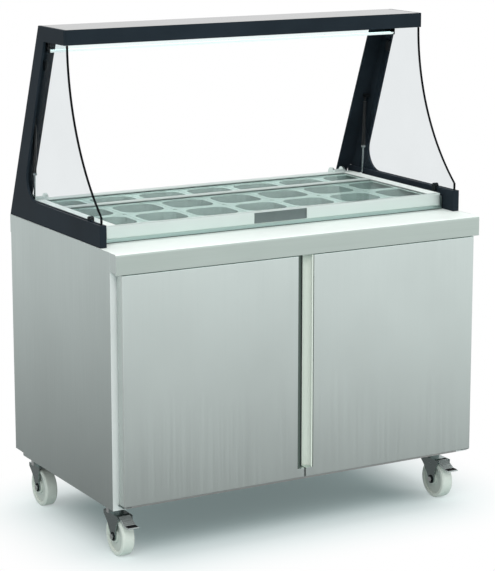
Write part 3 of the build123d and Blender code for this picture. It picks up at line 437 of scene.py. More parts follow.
# Painted light: the door gaskets are grey rather than black rubber, to lighten the gap between door and wall.
GASKET_LIFT_GREY = MouldedPlastic("gasket_painted_light", (0.30, 0.325, 0.315), 0.6, 1200.0)
SEAL_DARK = MouldedPlastic("seal_dark", (0.06, 0.072, 0.068), 0.6, 1200.0)
PANE_EDGE = MouldedPlastic("pane_edge", (0.55, 0.66, 0.63), 0.5, 1200.0)
TREAD_NYLON = MouldedPlastic("tread_nylon", (0.82, 0.87, 0.80), 0.42, 420.0)
DISC_NYLON = MouldedPlastic("disc_nylon", (0.64, 0.69, 0.64), 0.5, 420.0)
SIDE_GLASS = ClearGlass("side_glass", (0.80, 0.83, 0.84), 1.05)
LID_GLASS = ClearGlass("lid_glass", (0.85, 0.925, 0.91), 1.02)
LAMP_CLEAR = ClearGlass("lamp_clear", (0.88, 0.96, 0.955), 1.04)
OPAL = OpalLamp("lamp_opal", (0.86, 0.95, 0.94), 0.55)


@dataclass(frozen=True)
class BoltShape:
    """Proportions of a flanged hexagon head, as shares of its size over corners or its height."""

    sides: int = 6
    flange_sides: int = 24
    crown_inset: float = 0.16
    crown_sink: float = 0.12
    flange_height: float = 0.2
    flange_radius: float = 0.62
    flange_inset: float = 0.08
    flange_rise: float = 0.08
    edge: float = 0.03


@dataclass(frozen=True)
class ScrewShape:
    """Proportions of a domed screw head, as shares of its radius."""

    sides: int = 20
    height: float = 0.4
    dome_inset: float = 0.35
    dome_rise: float = 0.18
    recess_inset: float = 0.25
    recess_depth: float = 0.25
    edge: float = 0.06


class Bench:
    """Modelling by operators: every call works on one selected object."""

    @staticmethod
    def pick(piece: bpy.types.Object) -> None:
        """Make one object the only selected and active one."""
        bpy.ops.object.select_all(action="DESELECT")
        piece.select_set(True)
        bpy.context.view_layer.objects.active = piece

    @staticmethod
    def apply(piece: bpy.types.Object, kind: str, **settings: object) -> None:
        """Add a modifier, set it and apply it.

        Args:
            piece: Object to change.
            kind: Modifier type.
            settings: Values for the modifier.
        """
        Bench.pick(piece)
        modifier = piece.modifiers.new(kind.lower(), kind)
        for key, value in settings.items():
            setattr(modifier, key, value)
        bpy.ops.object.modifier_apply(modifier=modifier.name)

    @staticmethod
    def soften(piece: bpy.types.Object, width: float, segments: int = 2) -> None:
        """Round every crisp edge and smooth the rest.

        Args:
            piece: Object to change.
            width: Bevel width in metres.
            segments: Steps across each rounded edge.
        """
        if width > 0:
            Bench.apply(
                piece, "BEVEL", width=width, segments=segments, limit_method="ANGLE",
                angle_limit=BEVEL_ANGLE, use_clamp_overlap=True, harden_normals=False,
            )
        Bench.pick(piece)
        bpy.ops.object.shade_smooth_by_angle(angle=SMOOTH_ANGLE)
        Bench.apply(piece, "WEIGHTED_NORMAL", weight=100, keep_sharp=True)

    @staticmethod
    def settle(piece: bpy.types.Object) -> None:
        """Put an object's place into its mesh, so that it sits at the origin."""
        Bench.pick(piece)
        bpy.ops.object.transform_apply(location=True, rotation=True, scale=True)

    @staticmethod
    def box(name: str, low: Sequence[float], high: Sequence[float]) -> bpy.types.Object:
        """Cube between two corners.

        Args:
            name: Name of the piece.
            low: Lowest corner.
            high: Highest corner.

        Returns:
            The new object, at the origin.
        """
        bpy.ops.object.select_all(action="DESELECT")
        middle = [(a + b) / 2 for a, b in zip(low, high)]
        spans = [b - a for a, b in zip(low, high)]
        bpy.ops.mesh.primitive_cube_add(size=1.0, location=middle, scale=spans)
        piece = bpy.context.object
        piece.name = name
        Bench.settle(piece)
        return piece

    @staticmethod
    def rod(
        name: str, middle: Point, axis: str, length: float, radius: float, sides: int = 32
    ) -> bpy.types.Object:
        """Cylinder along one axis.

        Args:
            name: Name of the piece.
            middle: Centre of the rod.
            axis: X, Y or Z.
            length: Length along the axis.
            radius: Radius of the rod.
            sides: Sides of the cylinder.

        Returns:
            The new object, at the origin.
        """
        turn = {"X": (0, math.pi / 2, 0), "Y": (math.pi / 2, 0, 0), "Z": (0, 0, 0)}[axis]
        bpy.ops.object.select_all(action="DESELECT")
        bpy.ops.mesh.primitive_cylinder_add(
            vertices=sides, radius=radius, depth=length, location=middle, rotation=turn
        )
        piece = bpy.context.object
        piece.name = name
        Bench.settle(piece)
        return piece

    @staticmethod
    def choose(piece: bpy.types.Object, wanted: Callable[[bpy.types.MeshPolygon], bool]) -> None:
        """Select some faces of a piece and stay in edit mode.

        Args:
            piece: Object to work on.
            wanted: Says for each face whether it is selected.
        """
        Bench.pick(piece)
        bpy.ops.object.mode_set(mode="EDIT")
        bpy.ops.mesh.select_mode(type="FACE")
        bpy.ops.mesh.select_all(action="DESELECT")
        bpy.ops.object.mode_set(mode="OBJECT")
        for face in piece.data.polygons:
            face.select = wanted(face)
        bpy.ops.object.mode_set(mode="EDIT")

    @staticmethod
    def done() -> None:
        """Leave edit mode."""
        bpy.ops.object.mode_set(mode="OBJECT")

    @staticmethod
    def repeat(piece: bpy.types.Object, places: Sequence[Point]) -> bpy.types.Object:
        """Copy a piece to more places and join the copies into one mesh.

        Args:
            piece: Model at the origin.
            places: Where each copy goes.

        Returns:
            The joined piece.
        """
        copies = []
        for place in places:
            twin = bpy.data.objects.new(f"{piece.name}_copy", piece.data.copy())
            twin.location = place
            bpy.context.scene.collection.objects.link(twin)
            copies.append(twin)
        name = piece.name
        bpy.data.objects.remove(piece)
        bpy.ops.object.select_all(action="DESELECT")
        for twin in copies:
            twin.select_set(True)
        bpy.context.view_layer.objects.active = copies[0]
        bpy.ops.object.join()
        joined = bpy.context.object
        joined.name = name
        Bench.settle(joined)
        return joined

    @staticmethod
    def stand(piece: bpy.types.Object, axis: str, middle: Point = (0.0, 0.0, 0.0), lean: float = 0.0) -> None:
        """Turn a piece that was modelled along Z to another axis and put it in place.

        Args:
            piece: Model at the origin.
            axis: X, Y or Z, the way its top will face, with a minus sign for the other way.
            middle: Where its origin goes.
            lean: Extra turn about X in radians.
        """
        quarter = math.pi / 2
        turns = {
            "X": (0, quarter, 0), "-X": (0, -quarter, 0), "Y": (-quarter, 0, 0),
            "-Y": (quarter, 0, 0), "Z": (lean, 0, 0), "-Z": (math.pi + lean, 0, 0),
        }
        piece.rotation_euler = turns[axis]
        piece.location = middle
        Bench.settle(piece)

    @staticmethod
    def hex_bolt(name: str, across: float, height: float) -> bpy.types.Object:
        """Hexagon head with a flange and a slightly sunk crown, standing on the origin.

        Args:
            name: Name of the piece.
            across: Size over the corners.
            height: Height of the head.

        Returns:
            The new head.
        """
        shape = BoltShape()
        bolt = Bench.rod(name, (0, 0, height / 2), "Z", height, across / 2, shape.sides)
        Bench.choose(bolt, lambda face: face.normal.z > FLAT)
        bpy.ops.mesh.inset(thickness=shape.crown_inset * across)
        bpy.ops.transform.translate(value=(0, 0, -shape.crown_sink * height))
        Bench.done()
        thickness = shape.flange_height * height
        radius = shape.flange_radius * across
        middle = (0, 0, thickness / 2)
        flange = Bench.rod(f"{name}_flange", middle, "Z", thickness, radius, shape.flange_sides)
        Bench.choose(flange, lambda face: face.normal.z > FLAT)
        bpy.ops.mesh.inset(thickness=shape.flange_inset * across)
        bpy.ops.transform.translate(value=(0, 0, shape.flange_rise * height))
        Bench.done()
        bolt = Bench.fuse(bolt, flange)
        Bench.soften(bolt, shape.edge * across)
        return bolt

    @staticmethod
    def pan_screw(name: str, radius: float) -> bpy.types.Object:
        """Low domed screw head with a recess, standing on the origin.

        Args:
            name: Name of the piece.
            radius: Radius of the head.

        Returns:
            The new head.
        """
        shape = ScrewShape()
        height = shape.height * radius
        screw = Bench.rod(name, (0, 0, height / 2), "Z", height, radius, shape.sides)
        Bench.choose(screw, lambda face: face.normal.z > FLAT)
        bpy.ops.mesh.inset(thickness=shape.dome_inset * radius)
        bpy.ops.transform.translate(value=(0, 0, shape.dome_rise * radius))
        bpy.ops.mesh.inset(thickness=shape.recess_inset * radius)
        recess = (0, 0, -shape.recess_depth * radius)
        bpy.ops.mesh.extrude_region_move(TRANSFORM_OT_translate={"value": recess})
        Bench.done()
        Bench.soften(screw, shape.edge * radius)
        return screw

    @staticmethod
    def washer(name: str, outer: float, inner: float, height: float) -> bpy.types.Object:
        """Flat ring standing on the origin.

        Args:
            name: Name of the piece.
            outer: Outer radius.
            inner: Radius of the hole.
            height: Thickness.

        Returns:
            The new ring.
        """
        ring = Bench.rod(name, (0, 0, height / 2), "Z", height, outer)
        Bench.choose(ring, lambda face: abs(face.normal.z) > FLAT)
        bpy.ops.mesh.inset(thickness=outer - inner)
        bpy.ops.mesh.bridge_edge_loops()
        Bench.done()
        Bench.soften(ring, RING_EDGE * height)
        return ring

    @staticmethod
    def border(name: str, low: Sequence[float], high: Sequence[float], width: float) -> bpy.types.Object:
        """Thin flat frame round a rectangle.

        Args:
            name: Name of the piece.
            low: Lowest corner of the outside.
            high: Highest corner of the outside.
            width: Width of the frame's bars.

        Returns:
            The new frame.
        """
        frame_piece = Bench.box(name, low, high)
        Bench.choose(frame_piece, lambda face: abs(face.normal.z) > FLAT)
        bpy.ops.mesh.inset(thickness=width)
        bpy.ops.mesh.bridge_edge_loops()
        Bench.done()
        Bench.soften(frame_piece, BORDER_EDGE * (high[2] - low[2]))
        return frame_piece

    @staticmethod
    def fuse(*pieces: bpy.types.Object) -> bpy.types.Object:
        """Join several pieces into one mesh under the first one's name.

        Args:
            pieces: Objects to join.

        Returns:
            The joined piece.
        """
        bpy.ops.object.select_all(action="DESELECT")
        for piece in pieces:
            piece.select_set(True)
        bpy.context.view_layer.objects.active = pieces[0]
        bpy.ops.object.join()
        return bpy.context.object

    @staticmethod
    def copy_of(node: str, name: str) -> bpy.types.Object:
        """Merged copy of a CAD node, to be dressed.

        Args:
            node: Name of the CAD node.
            name: Name of the new piece.

        Returns:
            The copy, with its flat faces joined up.
        """
        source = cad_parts[node]
        piece = bpy.data.objects.new(name, source.data.copy())
        bpy.context.scene.collection.objects.link(piece)
        Bench.pick(piece)
        bpy.ops.object.mode_set(mode="EDIT")
        bpy.ops.mesh.select_all(action="SELECT")
        bpy.ops.mesh.remove_doubles(threshold=MERGE_REACH)
        bpy.ops.mesh.dissolve_limited(angle_limit=FLAT_ANGLE)
        bpy.ops.object.mode_set(mode="OBJECT")
        return piece


@dataclass
class SubAssembly:
    """A group of pieces on one body, with the way to dress and report them."""

    body: str = "cabinet"
    pieces: list[bpy.types.Object] = field(default_factory=list)

    def keep(self, piece: bpy.types.Object, finish: Finish, slot: str, *nodes: str) -> bpy.types.Object:
        """Give a piece its finish and its place on the body.

        Args:
            piece: Finished mesh.
            finish: Surface finish.
            slot: Material slot in the record; not used.
            nodes: CAD nodes that the piece stands for.

        Returns:
            The same piece.
        """
        piece.data.materials.clear()
        piece.data.materials.append(finish.material())
        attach(piece, self.body)
        if nodes:
            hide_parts(*nodes)
        self.pieces.append(piece)
        return piece

    def dress(self, node: str, finish: Finish, slot: str, edge: Edge) -> bpy.types.Object:
        """Stand a softened copy in for a CAD node.

        Args:
            node: Name of the CAD node.
            finish: Surface finish.
            slot: Material slot in the record.
            edge: Width of the softened edges.

        Returns:
            The dressed piece.
        """
        piece = Bench.copy_of(node, f"{node}_dressed")
        Bench.soften(piece, edge.value)
        return self.keep(piece, finish, slot, node)

    def part_of(
        self, piece: bpy.types.Object, finish: Finish, wanted: Callable[[bpy.types.MeshPolygon], bool]
    ) -> None:
        """Give some faces of a piece a second finish.

        Args:
            piece: Dressed piece.
            finish: Finish for the chosen faces.
            wanted: Says for each face whether it gets the finish.
        """
        piece.data.materials.append(finish.material())
        index = len(piece.data.materials) - 1
        for face in piece.data.polygons:
            if wanted(face):
                face.material_index = index

    def paint(self, node: str, finish: Finish) -> bpy.types.Object:
        """Give a CAD node that keeps its own shape a finish.

        Args:
            node: Name of the CAD node.
            finish: Surface finish.

        Returns:
            The node's object.
        """
        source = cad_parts[node]
        source.data.materials.clear()
        source.data.materials.append(finish.material())
        return source

    def build(self) -> None:
        """Model and dress the pieces of this group."""
        raise NotImplementedError

    def report(self) -> None:
        """Name each finished piece in the log."""
        for piece in self.pieces:
            LOG.info("%s: %s, %d faces", self.body, piece.name, len(piece.data.polygons))


@dataclass
class Cabinet(SubAssembly):
    """Steel body: walls, floor, front frame, worktop and what is inside."""

    screw_radius: float = 0.0045
    screw_inset: float = 0.018

    def build(self) -> None:
        """Dress the outer sheets and the inner pieces."""
        for side in ("left", "right"):
            wall = self.dress(f"side_wall_{side}", WALL_STEEL, "stainless", Edge.FOLD)
            # Front-facing faces of the side walls get the near-white copy: painted highlight.
            self.part_of(wall, WALL_EDGE_HIGHLIGHT, lambda face: face.normal.y < -LEANING)
        self.dress("rear_wall", WALL_STEEL, "stainless", Edge.FOLD)
        # The worktop's top is the near-white copy (painted light), its front faces the darker copy (painted
        # shade), its ends the wall steel.
        top = self.dress("worktop", PALE_LIT_STEEL, "stainless", Edge.FOLD)
        self.part_of(top, FASCIA_SHADE_STEEL, lambda face: face.normal.y < -FACING)
        self.part_of(top, WALL_STEEL, lambda face: abs(face.normal.x) > FACING)
        self.dress("rear_grille", WALL_STEEL, "stainless", Edge.HAIR)
        for node in ("cabinet_floor", "machine_housing", "front_frame", "shelf_rails", "wire_shelves"):
            self.dress(node, LINER_STEEL, "liner_steel", Edge.THIN)
        # Darkened zinc: painted reflection.
        self.dress("door_hinges", DARK_ZINC, "zinc_steel", Edge.HAIR)
        self.dress("mains_gland", FITTING_BLACK, "black_plastic", Edge.CAST)
        self.dress("compressor", MACHINE_BLACK, "black_machine", Edge.BAR)
        for node in ("condenser", "evaporator"):
            self.dress(node, FIN_METAL, "coil_aluminium", Edge.HAIR)
        self.grille_screws()

    def grille_screws(self) -> None:
        """Screws along the upper and lower edges of the rear grille."""
        low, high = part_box("rear_grille")
        screw = Bench.pan_screw("grille_screws", self.screw_radius)
        Bench.stand(screw, "Y")
        inset = self.screw_inset
        places = [
            (x, high[1], z)
            for x in (low[0] + inset, 0.0, high[0] - inset)
            for z in (low[2] + inset / 2, high[2] - inset / 2)
        ]
        self.keep(Bench.repeat(screw, places), BOLT_ZINC, "zinc_steel")


@dataclass
class PanWell(SubAssembly):
    """Raised collar with its bars and rows of food pans."""

    rows: tuple[str, ...] = ("front", "middle", "rear")
    rim: float = 0.004
    bead: float = 0.0016
    bead_width: float = 1.5

    def build(self) -> None:
        """Dress collar, bars and pans."""
        collar = self.dress("well_collar", COLLAR_STEEL, "stainless", Edge.FOLD)
        # Front faces of the collar get the darker copy: painted shade.
        self.part_of(collar, COLLAR_FRONT_SHADE, lambda face: face.normal.y < -SLOPING)
        self.dress("pan_bars", PAN_DARK_STEEL, "pan_steel", Edge.FOLD)
        for row in self.rows:
            pans = self.dress(f"pans_{row}_row", RIM_STEEL, "pan_steel", Edge.SHEET)
            rim_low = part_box(f"pans_{row}_row")[1][2] - self.rim
            # Faces below the rim take the darker steel: painted shade inside the pans.
            self.part_of(pans, PAN_DARK_STEEL, lambda face: face.center.z < rim_low)
        self.sealant()

    def sealant(self) -> None:
        """Bead of sealant round the collar's foot on the worktop."""
        low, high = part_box("well_collar")
        out = self.bead
        outer_low = (low[0] - out, low[1] - out, low[2])
        outer_high = (high[0] + out, high[1] + out, low[2] + out)
        bead = Bench.border("collar_sealant", outer_low, outer_high, self.bead_width * out)
        self.keep(bead, SEAL_DARK, "black_rubber")


@dataclass
class ServingFrame(SubAssembly):
    """Black frame over the pans with its glass and lamp."""

    cap_depth: float = 0.002
    cap_border: float = 0.004
    cap_sink: float = 0.2

    def build(self) -> None:
        """Dress plates, beam, glass and lamp."""
        for side in ("left", "right"):
            self.dress(f"frame_side_{side}", FRAME_BLACK, "black_frame", Edge.FOLD)
            self.dress(f"upright_{side}", FRAME_BLACK, "black_frame", Edge.FOLD)
            self.paint(f"glass_{side}", SIDE_GLASS)
        beam = self.dress("top_beam", FRAME_BLACK, "black_frame", Edge.THIN)
        # Up-facing faces of the beam get the glossier copy: painted sheen.
        self.part_of(beam, FRAME_TOP_SHEEN, lambda face: face.normal.z > FACING)
        self.dress("led_housing", LAMP_CLEAR, "side_glass", Edge.THIN)
        self.dress("led_diffuser", OPAL, "lamp_diffuser", Edge.NONE)
        self.paint("glass_trims", EDGING_BLACK)
        self.dress("glass_clips", FITTING_BLACK, "black_plastic", Edge.BAR)
        self.dress("lid_hinge_brackets", LID_STEEL, "lid_metal", Edge.SHEET)
        self.dress("strut_studs", FITTING_BLACK, "black_plastic", Edge.FITTING)
        self.lamp_caps()

    def lamp_caps(self) -> None:
        """Moulded caps over both ends of the lamp."""
        low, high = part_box("led_housing")
        glow_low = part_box("led_diffuser")[0][2]
        for side, end in (("left", low[0]), ("right", high[0])):
            outward = math.copysign(self.cap_depth, end)
            x_from, x_to = sorted((end, end + outward))
            cap = Bench.box(f"lamp_cap_{side}", (x_from, low[1], glow_low), (x_to, high[1], high[2]))
            Bench.choose(cap, lambda face: face.normal.x * end > LEANING * abs(end))
            bpy.ops.mesh.inset(thickness=self.cap_border)
            bpy.ops.transform.translate(value=(-self.cap_sink * outward, 0, 0))
            Bench.done()
            Bench.soften(cap, Edge.FITTING.value)
            self.keep(cap, FITTING_BLACK, "black_plastic")


@dataclass
class Door(SubAssembly):
    """One swing door with its grip profile and gasket."""

    side: str = "left"

    def build(self) -> None:
        """Dress panel, grip and gasket."""
        self.body = f"{self.side}_door"
        panel = self.dress(f"door_{self.side}_panel", DOOR_STEEL, "stainless", Edge.SHEET)
        # The side faces get the darker copy of the steel: painted shade.
        self.part_of(panel, DOOR_SIDE_SHADE, lambda face: abs(face.normal.x) > FACING)
        # The left grip is the dark copy of the cream grip: painted shade.
        grip = GRIP_SHADE if self.side == "left" else GRIP_CREAM
        self.dress(f"door_{self.side}_grip", grip, "grip_profile", Edge.HAIR)
        # Grey gasket in place of black rubber: painted light in the gap.
        self.dress(f"door_{self.side}_gasket", GASKET_LIFT_GREY, "black_rubber", Edge.SOFT)


@dataclass
class Lid(SubAssembly):
    """Lifting lid with its front bar, handle and panes."""

    body: str = "lid"

    def build(self) -> None:
        """Dress frame, bar, handle and panes."""
        # The side bars take the near-white copy of the steel: painted light.
        self.dress("lid_side_bars", PALE_LIT_STEEL, "lid_metal", Edge.BAR)
        self.dress("lid_cross_bars", CROSS_STEEL, "lid_metal", Edge.BAR)
        self.dress("lid_front_bar", LID_STEEL, "lid_metal", Edge.THIN)
        self.dress("lid_handle", HANDLE_GREY, "grey_plastic", Edge.SHEET)
        panes = self.paint("lid_panes", LID_GLASS)
        self.part_of(panes, PANE_EDGE, lambda face: abs(face.normal.z) < LEANING)


@dataclass
class Strut(SubAssembly):
    """One gas strut: cylinder and rod on their own bodies."""

    side: str = "left"
    ring_radius: float = 0.0072
    rod_radius: float = 0.0034
    ring_height: float = 0.007

    def build(self) -> None:
        """Dress cylinder and rod."""
        self.body = f"strut_{self.side}_cylinder"
        self.dress(self.body, STRUT_BLACK, "strut_black", Edge.THIN)
        self.gland()
        self.body = f"strut_{self.side}_rod"
        # The rod takes the darkened chrome: painted reflection.
        self.dress(self.body, ROD_REFLECTION_STEEL, "strut_rod", Edge.HAIR)

    def gland(self) -> None:
        """Ring that holds the seal at the cylinder's mouth."""
        tube_low, tube_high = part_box(self.body)
        rod_low, rod_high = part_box(f"strut_{self.side}_rod")
        middle_x = (tube_low[0] + tube_high[0]) / 2
        eye = rod_high[1] - tube_high[1]
        lean = math.atan2(eye, tube_low[2] - rod_low[2])
        ring = Bench.washer(f"strut_{self.side}_gland", self.ring_radius, self.rod_radius, self.ring_height)
        mouth_y = (tube_low[1] + tube_high[1]) / 2 + eye
        Bench.stand(ring, "Z", (middle_x, mouth_y, tube_low[2]), lean)
        # The gland ring takes the darkened chrome as well: painted reflection.
        self.keep(ring, ROD_REFLECTION_STEEL, "strut_rod")


@dataclass
class Caster(SubAssembly):
    """One swivel caster: fork, wheel and, in front, a brake pedal."""

    place: str = "front_left"
    leg_outer: float = 0.0256
    washer_radius: float = 0.0135
    nut_radius: float = 0.0096
    washer_height: float = 0.0015
    disc_radius: float = 0.049
    disc_face: float = 0.0195
    pedal_sheet: float = 0.004
    pad_edge: float = 0.003
    pad_depth: float = 0.021
    pad_height: float = 0.0015
    pad_cuts: tuple[float, ...] = (0.25, 0.5, 0.75)
    rib_inset: float = 0.0012
    rib_rise: float = 0.0008

    def build(self) -> None:
        """Dress fork, wheel and pedal."""
        fork = f"caster_{self.place}_fork"
        wheel = f"caster_{self.place}_wheel"
        pedal = f"caster_{self.place}_pedal"
        axle = [(a + b) / 2 for a, b in zip(*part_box(wheel))]
        self.body = fork
        # Darkened zinc: painted reflection.
        legs = self.dress(fork, DARK_ZINC, "zinc_steel", Edge.THIN)
        self.part_of(legs, BOLT_ZINC, lambda face: abs(face.center.x - axle[0]) > self.leg_outer)
        self.axle_washers(axle)
        self.body = wheel
        tread = self.dress(wheel, TREAD_NYLON, "white_nylon", Edge.SHEET)

        def in_disc(face: bpy.types.MeshPolygon) -> bool:
            """Whether a face lies inside the wheel's rim."""
            reach = math.hypot(face.center.y - axle[1], face.center.z - axle[2])
            return reach < self.disc_radius and abs(face.center.x - axle[0]) < self.disc_face

        self.part_of(tread, DISC_NYLON, in_disc)
        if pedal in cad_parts:
            self.body = pedal
            self.dress(pedal, PEDAL_ZINC, "zinc_steel", Edge.SHEET)
            self.pedal_pad(pedal)

    def axle_washers(self, axle: Sequence[float]) -> None:
        """Dark washers between the fork's legs and the axle's nuts.

        Args:
            axle: Middle of the wheel.
        """
        rings = []
        sizes = (self.washer_radius, self.nut_radius, self.washer_height)
        for way, side in (("-X", -1), ("X", 1)):
            ring = Bench.washer(f"caster_{self.place}_washers", *sizes)
            Bench.stand(ring, way, (axle[0] + side * self.leg_outer, axle[1], axle[2]))
            rings.append(ring)
        self.keep(Bench.fuse(*rings), FITTING_BLACK, "zinc_steel")

    def pedal_pad(self, pedal: str) -> None:
        """Ribbed rubber pad on the level tip of the pedal.

        Args:
            pedal: Name of the pedal's node.
        """
        low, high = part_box(pedal)
        edge = self.pad_edge
        top = low[2] + self.pedal_sheet
        pad_low = (low[0] + edge, low[1] + edge, top)
        pad_high = (high[0] - edge, low[1] + self.pad_depth, top + self.pad_height)
        pad = Bench.box(f"caster_{self.place}_pad", pad_low, pad_high)
        Bench.pick(pad)
        bpy.ops.object.mode_set(mode="EDIT")
        for step in self.pad_cuts:
            bpy.ops.mesh.select_all(action="SELECT")
            cut = low[1] + edge + step * (self.pad_depth - edge)
            bpy.ops.mesh.bisect(plane_co=(0, cut, 0), plane_no=(0, 1, 0))
        Bench.done()
        Bench.choose(pad, lambda face: face.normal.z > FLAT)
        bpy.ops.mesh.inset(thickness=self.rib_inset, use_individual=True)
        bpy.ops.transform.translate(value=(0, 0, self.rib_rise))
        Bench.done()
        Bench.soften(pad, Edge.CAST.value)
        self.keep(pad, RUBBER_BLACK, "black_plastic")


@dataclass
class CasterPlates(SubAssembly):
    """Fixed plates of the casters under the cabinet."""

    plate: tuple[float, float] = (0.096, 0.086)
    sheet: float = 0.005
    inset: float = 0.012
    across: float = 0.013
    head: float = 0.006

    def build(self) -> None:
        """Dress the plates and bolt them to the floor."""
        # Darkened zinc: painted reflection.
        self.dress("caster_plates", DARK_ZINC, "zinc_steel", Edge.THIN)
        low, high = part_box("caster_plates")
        length, width = self.plate
        bolt = Bench.hex_bolt("caster_plate_bolts", self.across, self.head)
        Bench.stand(bolt, "-Z")
        reach_x, reach_y = width / 2 - self.inset, length / 2 - self.inset
        places = [
            (plate_x + x, plate_y + y, high[2] - self.sheet)
            for plate_x in (low[0] + width / 2, high[0] - width / 2)
            for plate_y in (low[1] + length / 2, high[1] - length / 2)
            for x in (-reach_x, reach_x)
            for y in (-reach_y, reach_y)
        ]
        self.keep(Bench.repeat(bolt, places), BOLT_ZINC, "zinc_steel")


@dataclass
class Fan(SubAssembly):
    """Condenser fan behind the grille."""

    body: str = "fan"

    def build(self) -> None:
        """Dress the rotor."""
        self.dress("fan_rotor", MACHINE_BLACK, "black_machine", Edge.THIN)


@dataclass(frozen=True)
class Softbox:
    """One square lamp: where it hangs, what it faces, its side in metres and its power in watts."""

    name: str
    place: Point
    aim: Point
    size: float
    power: float


KEY = Softbox("key_softbox", (-2.6, -3.6, 4.2), (0, 0, 0.8), 3.0, 120.0)
FILL = Softbox("fill_softbox", (4.0, -3.0, 2.8), (0, 0, 0.8), 3.0, 50.0)
TOP = Softbox("top_softbox", (0.4, 0.6, 5.0), (0, 0, 0.9), 3.4, 90.0)


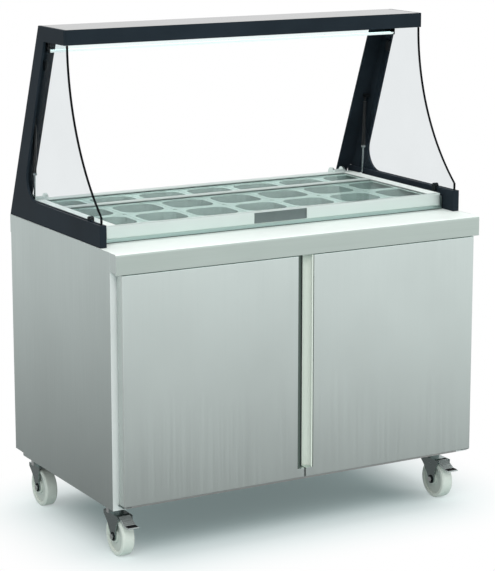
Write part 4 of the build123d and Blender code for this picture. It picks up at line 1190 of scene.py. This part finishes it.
@dataclass
class Studio:
    """Plain pale floor, soft lamps, white surround and the camera."""

    eye: Point = (-3.254, -5.740, 2.152)
    yaw: float = 29.65
    pitch: float = 11.37
    lens: float = 131.07
    sensor: float = 36.0
    shift: float = -0.05
    horizon: float = 200.0
    floor_side: float = 60.0
    floor_colour: Colour = (0.69, 0.815, 0.815)
    glow_colour: Colour = (0.75, 1.0, 1.0)
    # Faint teal glow of the near floor, which lifts and tints the shadow: painted light.
    glow: float = 0.11
    footprint: Point = (0.43, 0.17, 1.0)
    fade_reach: float = 0.5
    # Grey-to-white sweep that the steel mirrors: painted shade near the cabinet.
    sweep_from: float = 0.5
    sweep_to: float = 5.0
    sweep_painted_shade: float = 0.23
    soft_light: float = 0.5

    def floor(self) -> None:
        """Lay the floor: white to the eye with the soft shadow, and for reflections a grey sweep of painted
        shade.
        """
        bpy.ops.object.select_all(action="DESELECT")
        bpy.ops.mesh.primitive_plane_add(size=self.floor_side, location=(0, 0, 0))
        plane = bpy.context.object
        plane.name = "studio_floor"
        w = Wiring("floor_white")
        path = w.add("LightPath")
        place = w.add("TexCoord").outputs["Object"]
        matt = w.add("BsdfDiffuse", Color=(*self.floor_colour, 1.0))
        by_eye = w.add("Math")
        by_eye.operation = "MAXIMUM"
        w.join(path.outputs["Is Camera Ray"], by_eye.inputs[0])
        w.join(path.outputs["Is Transmission Ray"], by_eye.inputs[1])
        plain = w.mix(by_eye.outputs[0], matt, self.seen_floor(w, place, matt))
        mirrored = self.mirrored_floor(w, place)
        plane.data.materials.append(w.finish(w.mix(path.outputs["Is Glossy Ray"], plain, mirrored)))

    def seen_floor(
        self, w: Wiring, place: bpy.types.NodeSocket, matt: bpy.types.Node
    ) -> bpy.types.Node:
        """Floor as the eye sees it, which turns white away from the cabinet's footprint. Near the footprint a
        teal-tinted matt floor catches the rendered shadow under a faint teal glow of painted light, and the
        fade to white, not the lamps, sets how far the shadow reaches.

        Args:
            w: Node tree of the floor.
            place: Socket with the point on the floor.
            matt: Shader that catches the shadow.

        Returns:
            The shader.
        """
        corner = w.vector_step("SUBTRACT", w.vector_step("ABSOLUTE", place), self.footprint)
        outside = w.vector_step("LENGTH", w.vector_step("MAXIMUM", corner, (0, 0, 0)))
        fade = w.add("MapRange", From_Min=0.0, From_Max=self.fade_reach)
        fade.interpolation_type = "SMOOTHSTEP"
        w.join(outside, fade.inputs["Value"])
        glow = w.add("Emission", Color=(*self.glow_colour, 1.0), Strength=self.glow)
        near = w.add("AddShader")
        w.join(matt.outputs[0], near.inputs[0])
        w.join(glow.outputs[0], near.inputs[1])
        far = w.add("Emission", Color=WHITE, Strength=1.0)
        return w.mix(fade.outputs["Result"], near, far)

    def mirrored_floor(self, w: Wiring, place: bpy.types.NodeSocket) -> bpy.types.Node:
        """Floor as the steel mirrors it, a sweep from grey near the cabinet to white further out: painted
        shade for the steel to reflect, which darkens it towards the bottom.

        Args:
            w: Node tree of the floor.
            place: Socket with the point on the floor.

        Returns:
            The shader.
        """
        sweep = w.add(
            "MapRange", From_Min=self.sweep_from, From_Max=self.sweep_to, To_Min=self.sweep_painted_shade, To_Max=1.0
        )
        w.join(w.vector_step("LENGTH", place), sweep.inputs["Value"])
        mirrored = w.add("Emission", Color=WHITE)
        w.join(sweep.outputs["Result"], mirrored.inputs["Strength"])
        return mirrored

    def surround(self) -> None:
        """White surround: full strength to the eye and in reflections, softer as light."""
        world = bpy.data.worlds.new("studio_surround")
        bpy.context.scene.world = world
        world.use_nodes = True
        tree = world.node_tree
        tree.nodes.clear()
        output = tree.nodes.new("ShaderNodeOutputWorld")
        path = tree.nodes.new("ShaderNodeLightPath")
        soft = tree.nodes.new("ShaderNodeBackground")
        soft.inputs["Color"].default_value = WHITE
        soft.inputs["Strength"].default_value = self.soft_light
        white = tree.nodes.new("ShaderNodeBackground")
        white.inputs["Color"].default_value = WHITE
        white.inputs["Strength"].default_value = 1.0
        mix = tree.nodes.new("ShaderNodeMixShader")
        tree.links.new(path.outputs["Is Diffuse Ray"], mix.inputs["Fac"])
        tree.links.new(white.outputs[0], mix.inputs[1])
        tree.links.new(soft.outputs[0], mix.inputs[2])
        tree.links.new(mix.outputs[0], output.inputs["Surface"])

    def lamp(self, box: Softbox) -> None:
        """Hang one square softbox.

        Args:
            box: Place, size and power of the lamp.
        """
        bpy.ops.object.select_all(action="DESELECT")
        bpy.ops.object.light_add(type="AREA", location=box.place)
        lamp = bpy.context.object
        lamp.name = box.name
        lamp.data.shape = "SQUARE"
        lamp.data.size = box.size
        lamp.data.energy = box.power
        lamp.visible_glossy = False
        way = Vector(box.aim) - Vector(box.place)
        lamp.rotation_euler = way.to_track_quat("-Z", "Y").to_euler()

    def lamps(self) -> None:
        """Large key over the front left, weaker fill from the right, soft top light."""
        for box in (KEY, FILL, TOP):
            self.lamp(box)

    def camera(self) -> None:
        """Set the camera at the photograph's angle."""
        data = bpy.data.cameras.new("shop_camera")
        data.lens = self.lens
        data.sensor_width = self.sensor
        data.shift_y = self.shift
        data.clip_end = self.horizon
        camera = bpy.data.objects.new("shop_camera", data)
        camera.location = self.eye
        tilt, turn = math.radians(90 - self.pitch), math.radians(-self.yaw)
        camera.rotation_euler = Euler((tilt, 0.0, turn))
        bpy.context.scene.collection.objects.link(camera)
        bpy.context.scene.camera = camera

    def build(self) -> None:
        """Set up floor, surround, lamps and camera."""
        bpy.context.scene.view_settings.view_transform = "Standard"
        self.floor()
        self.surround()
        self.lamps()
        self.camera()


def assemblies() -> Iterable[SubAssembly]:
    """All sub-assemblies in building order.

    Returns:
        The groups, each ready to build.
    """
    yield Cabinet()
    yield PanWell()
    yield ServingFrame()
    for side in ("left", "right"):
        yield Door(side=side)
        yield Strut(side=side)
    yield Lid()
    yield CasterPlates()
    for place in ("front_left", "front_right", "rear_left", "rear_right"):
        yield Caster(place=place)
    yield Fan()


def main() -> None:
    """Build every group and the studio."""
    logging.basicConfig(level=logging.INFO, format="%(message)s")
    for group in assemblies():
        group.build()
        group.report()
    Studio().build()


if __name__ == "__main__":
    main()
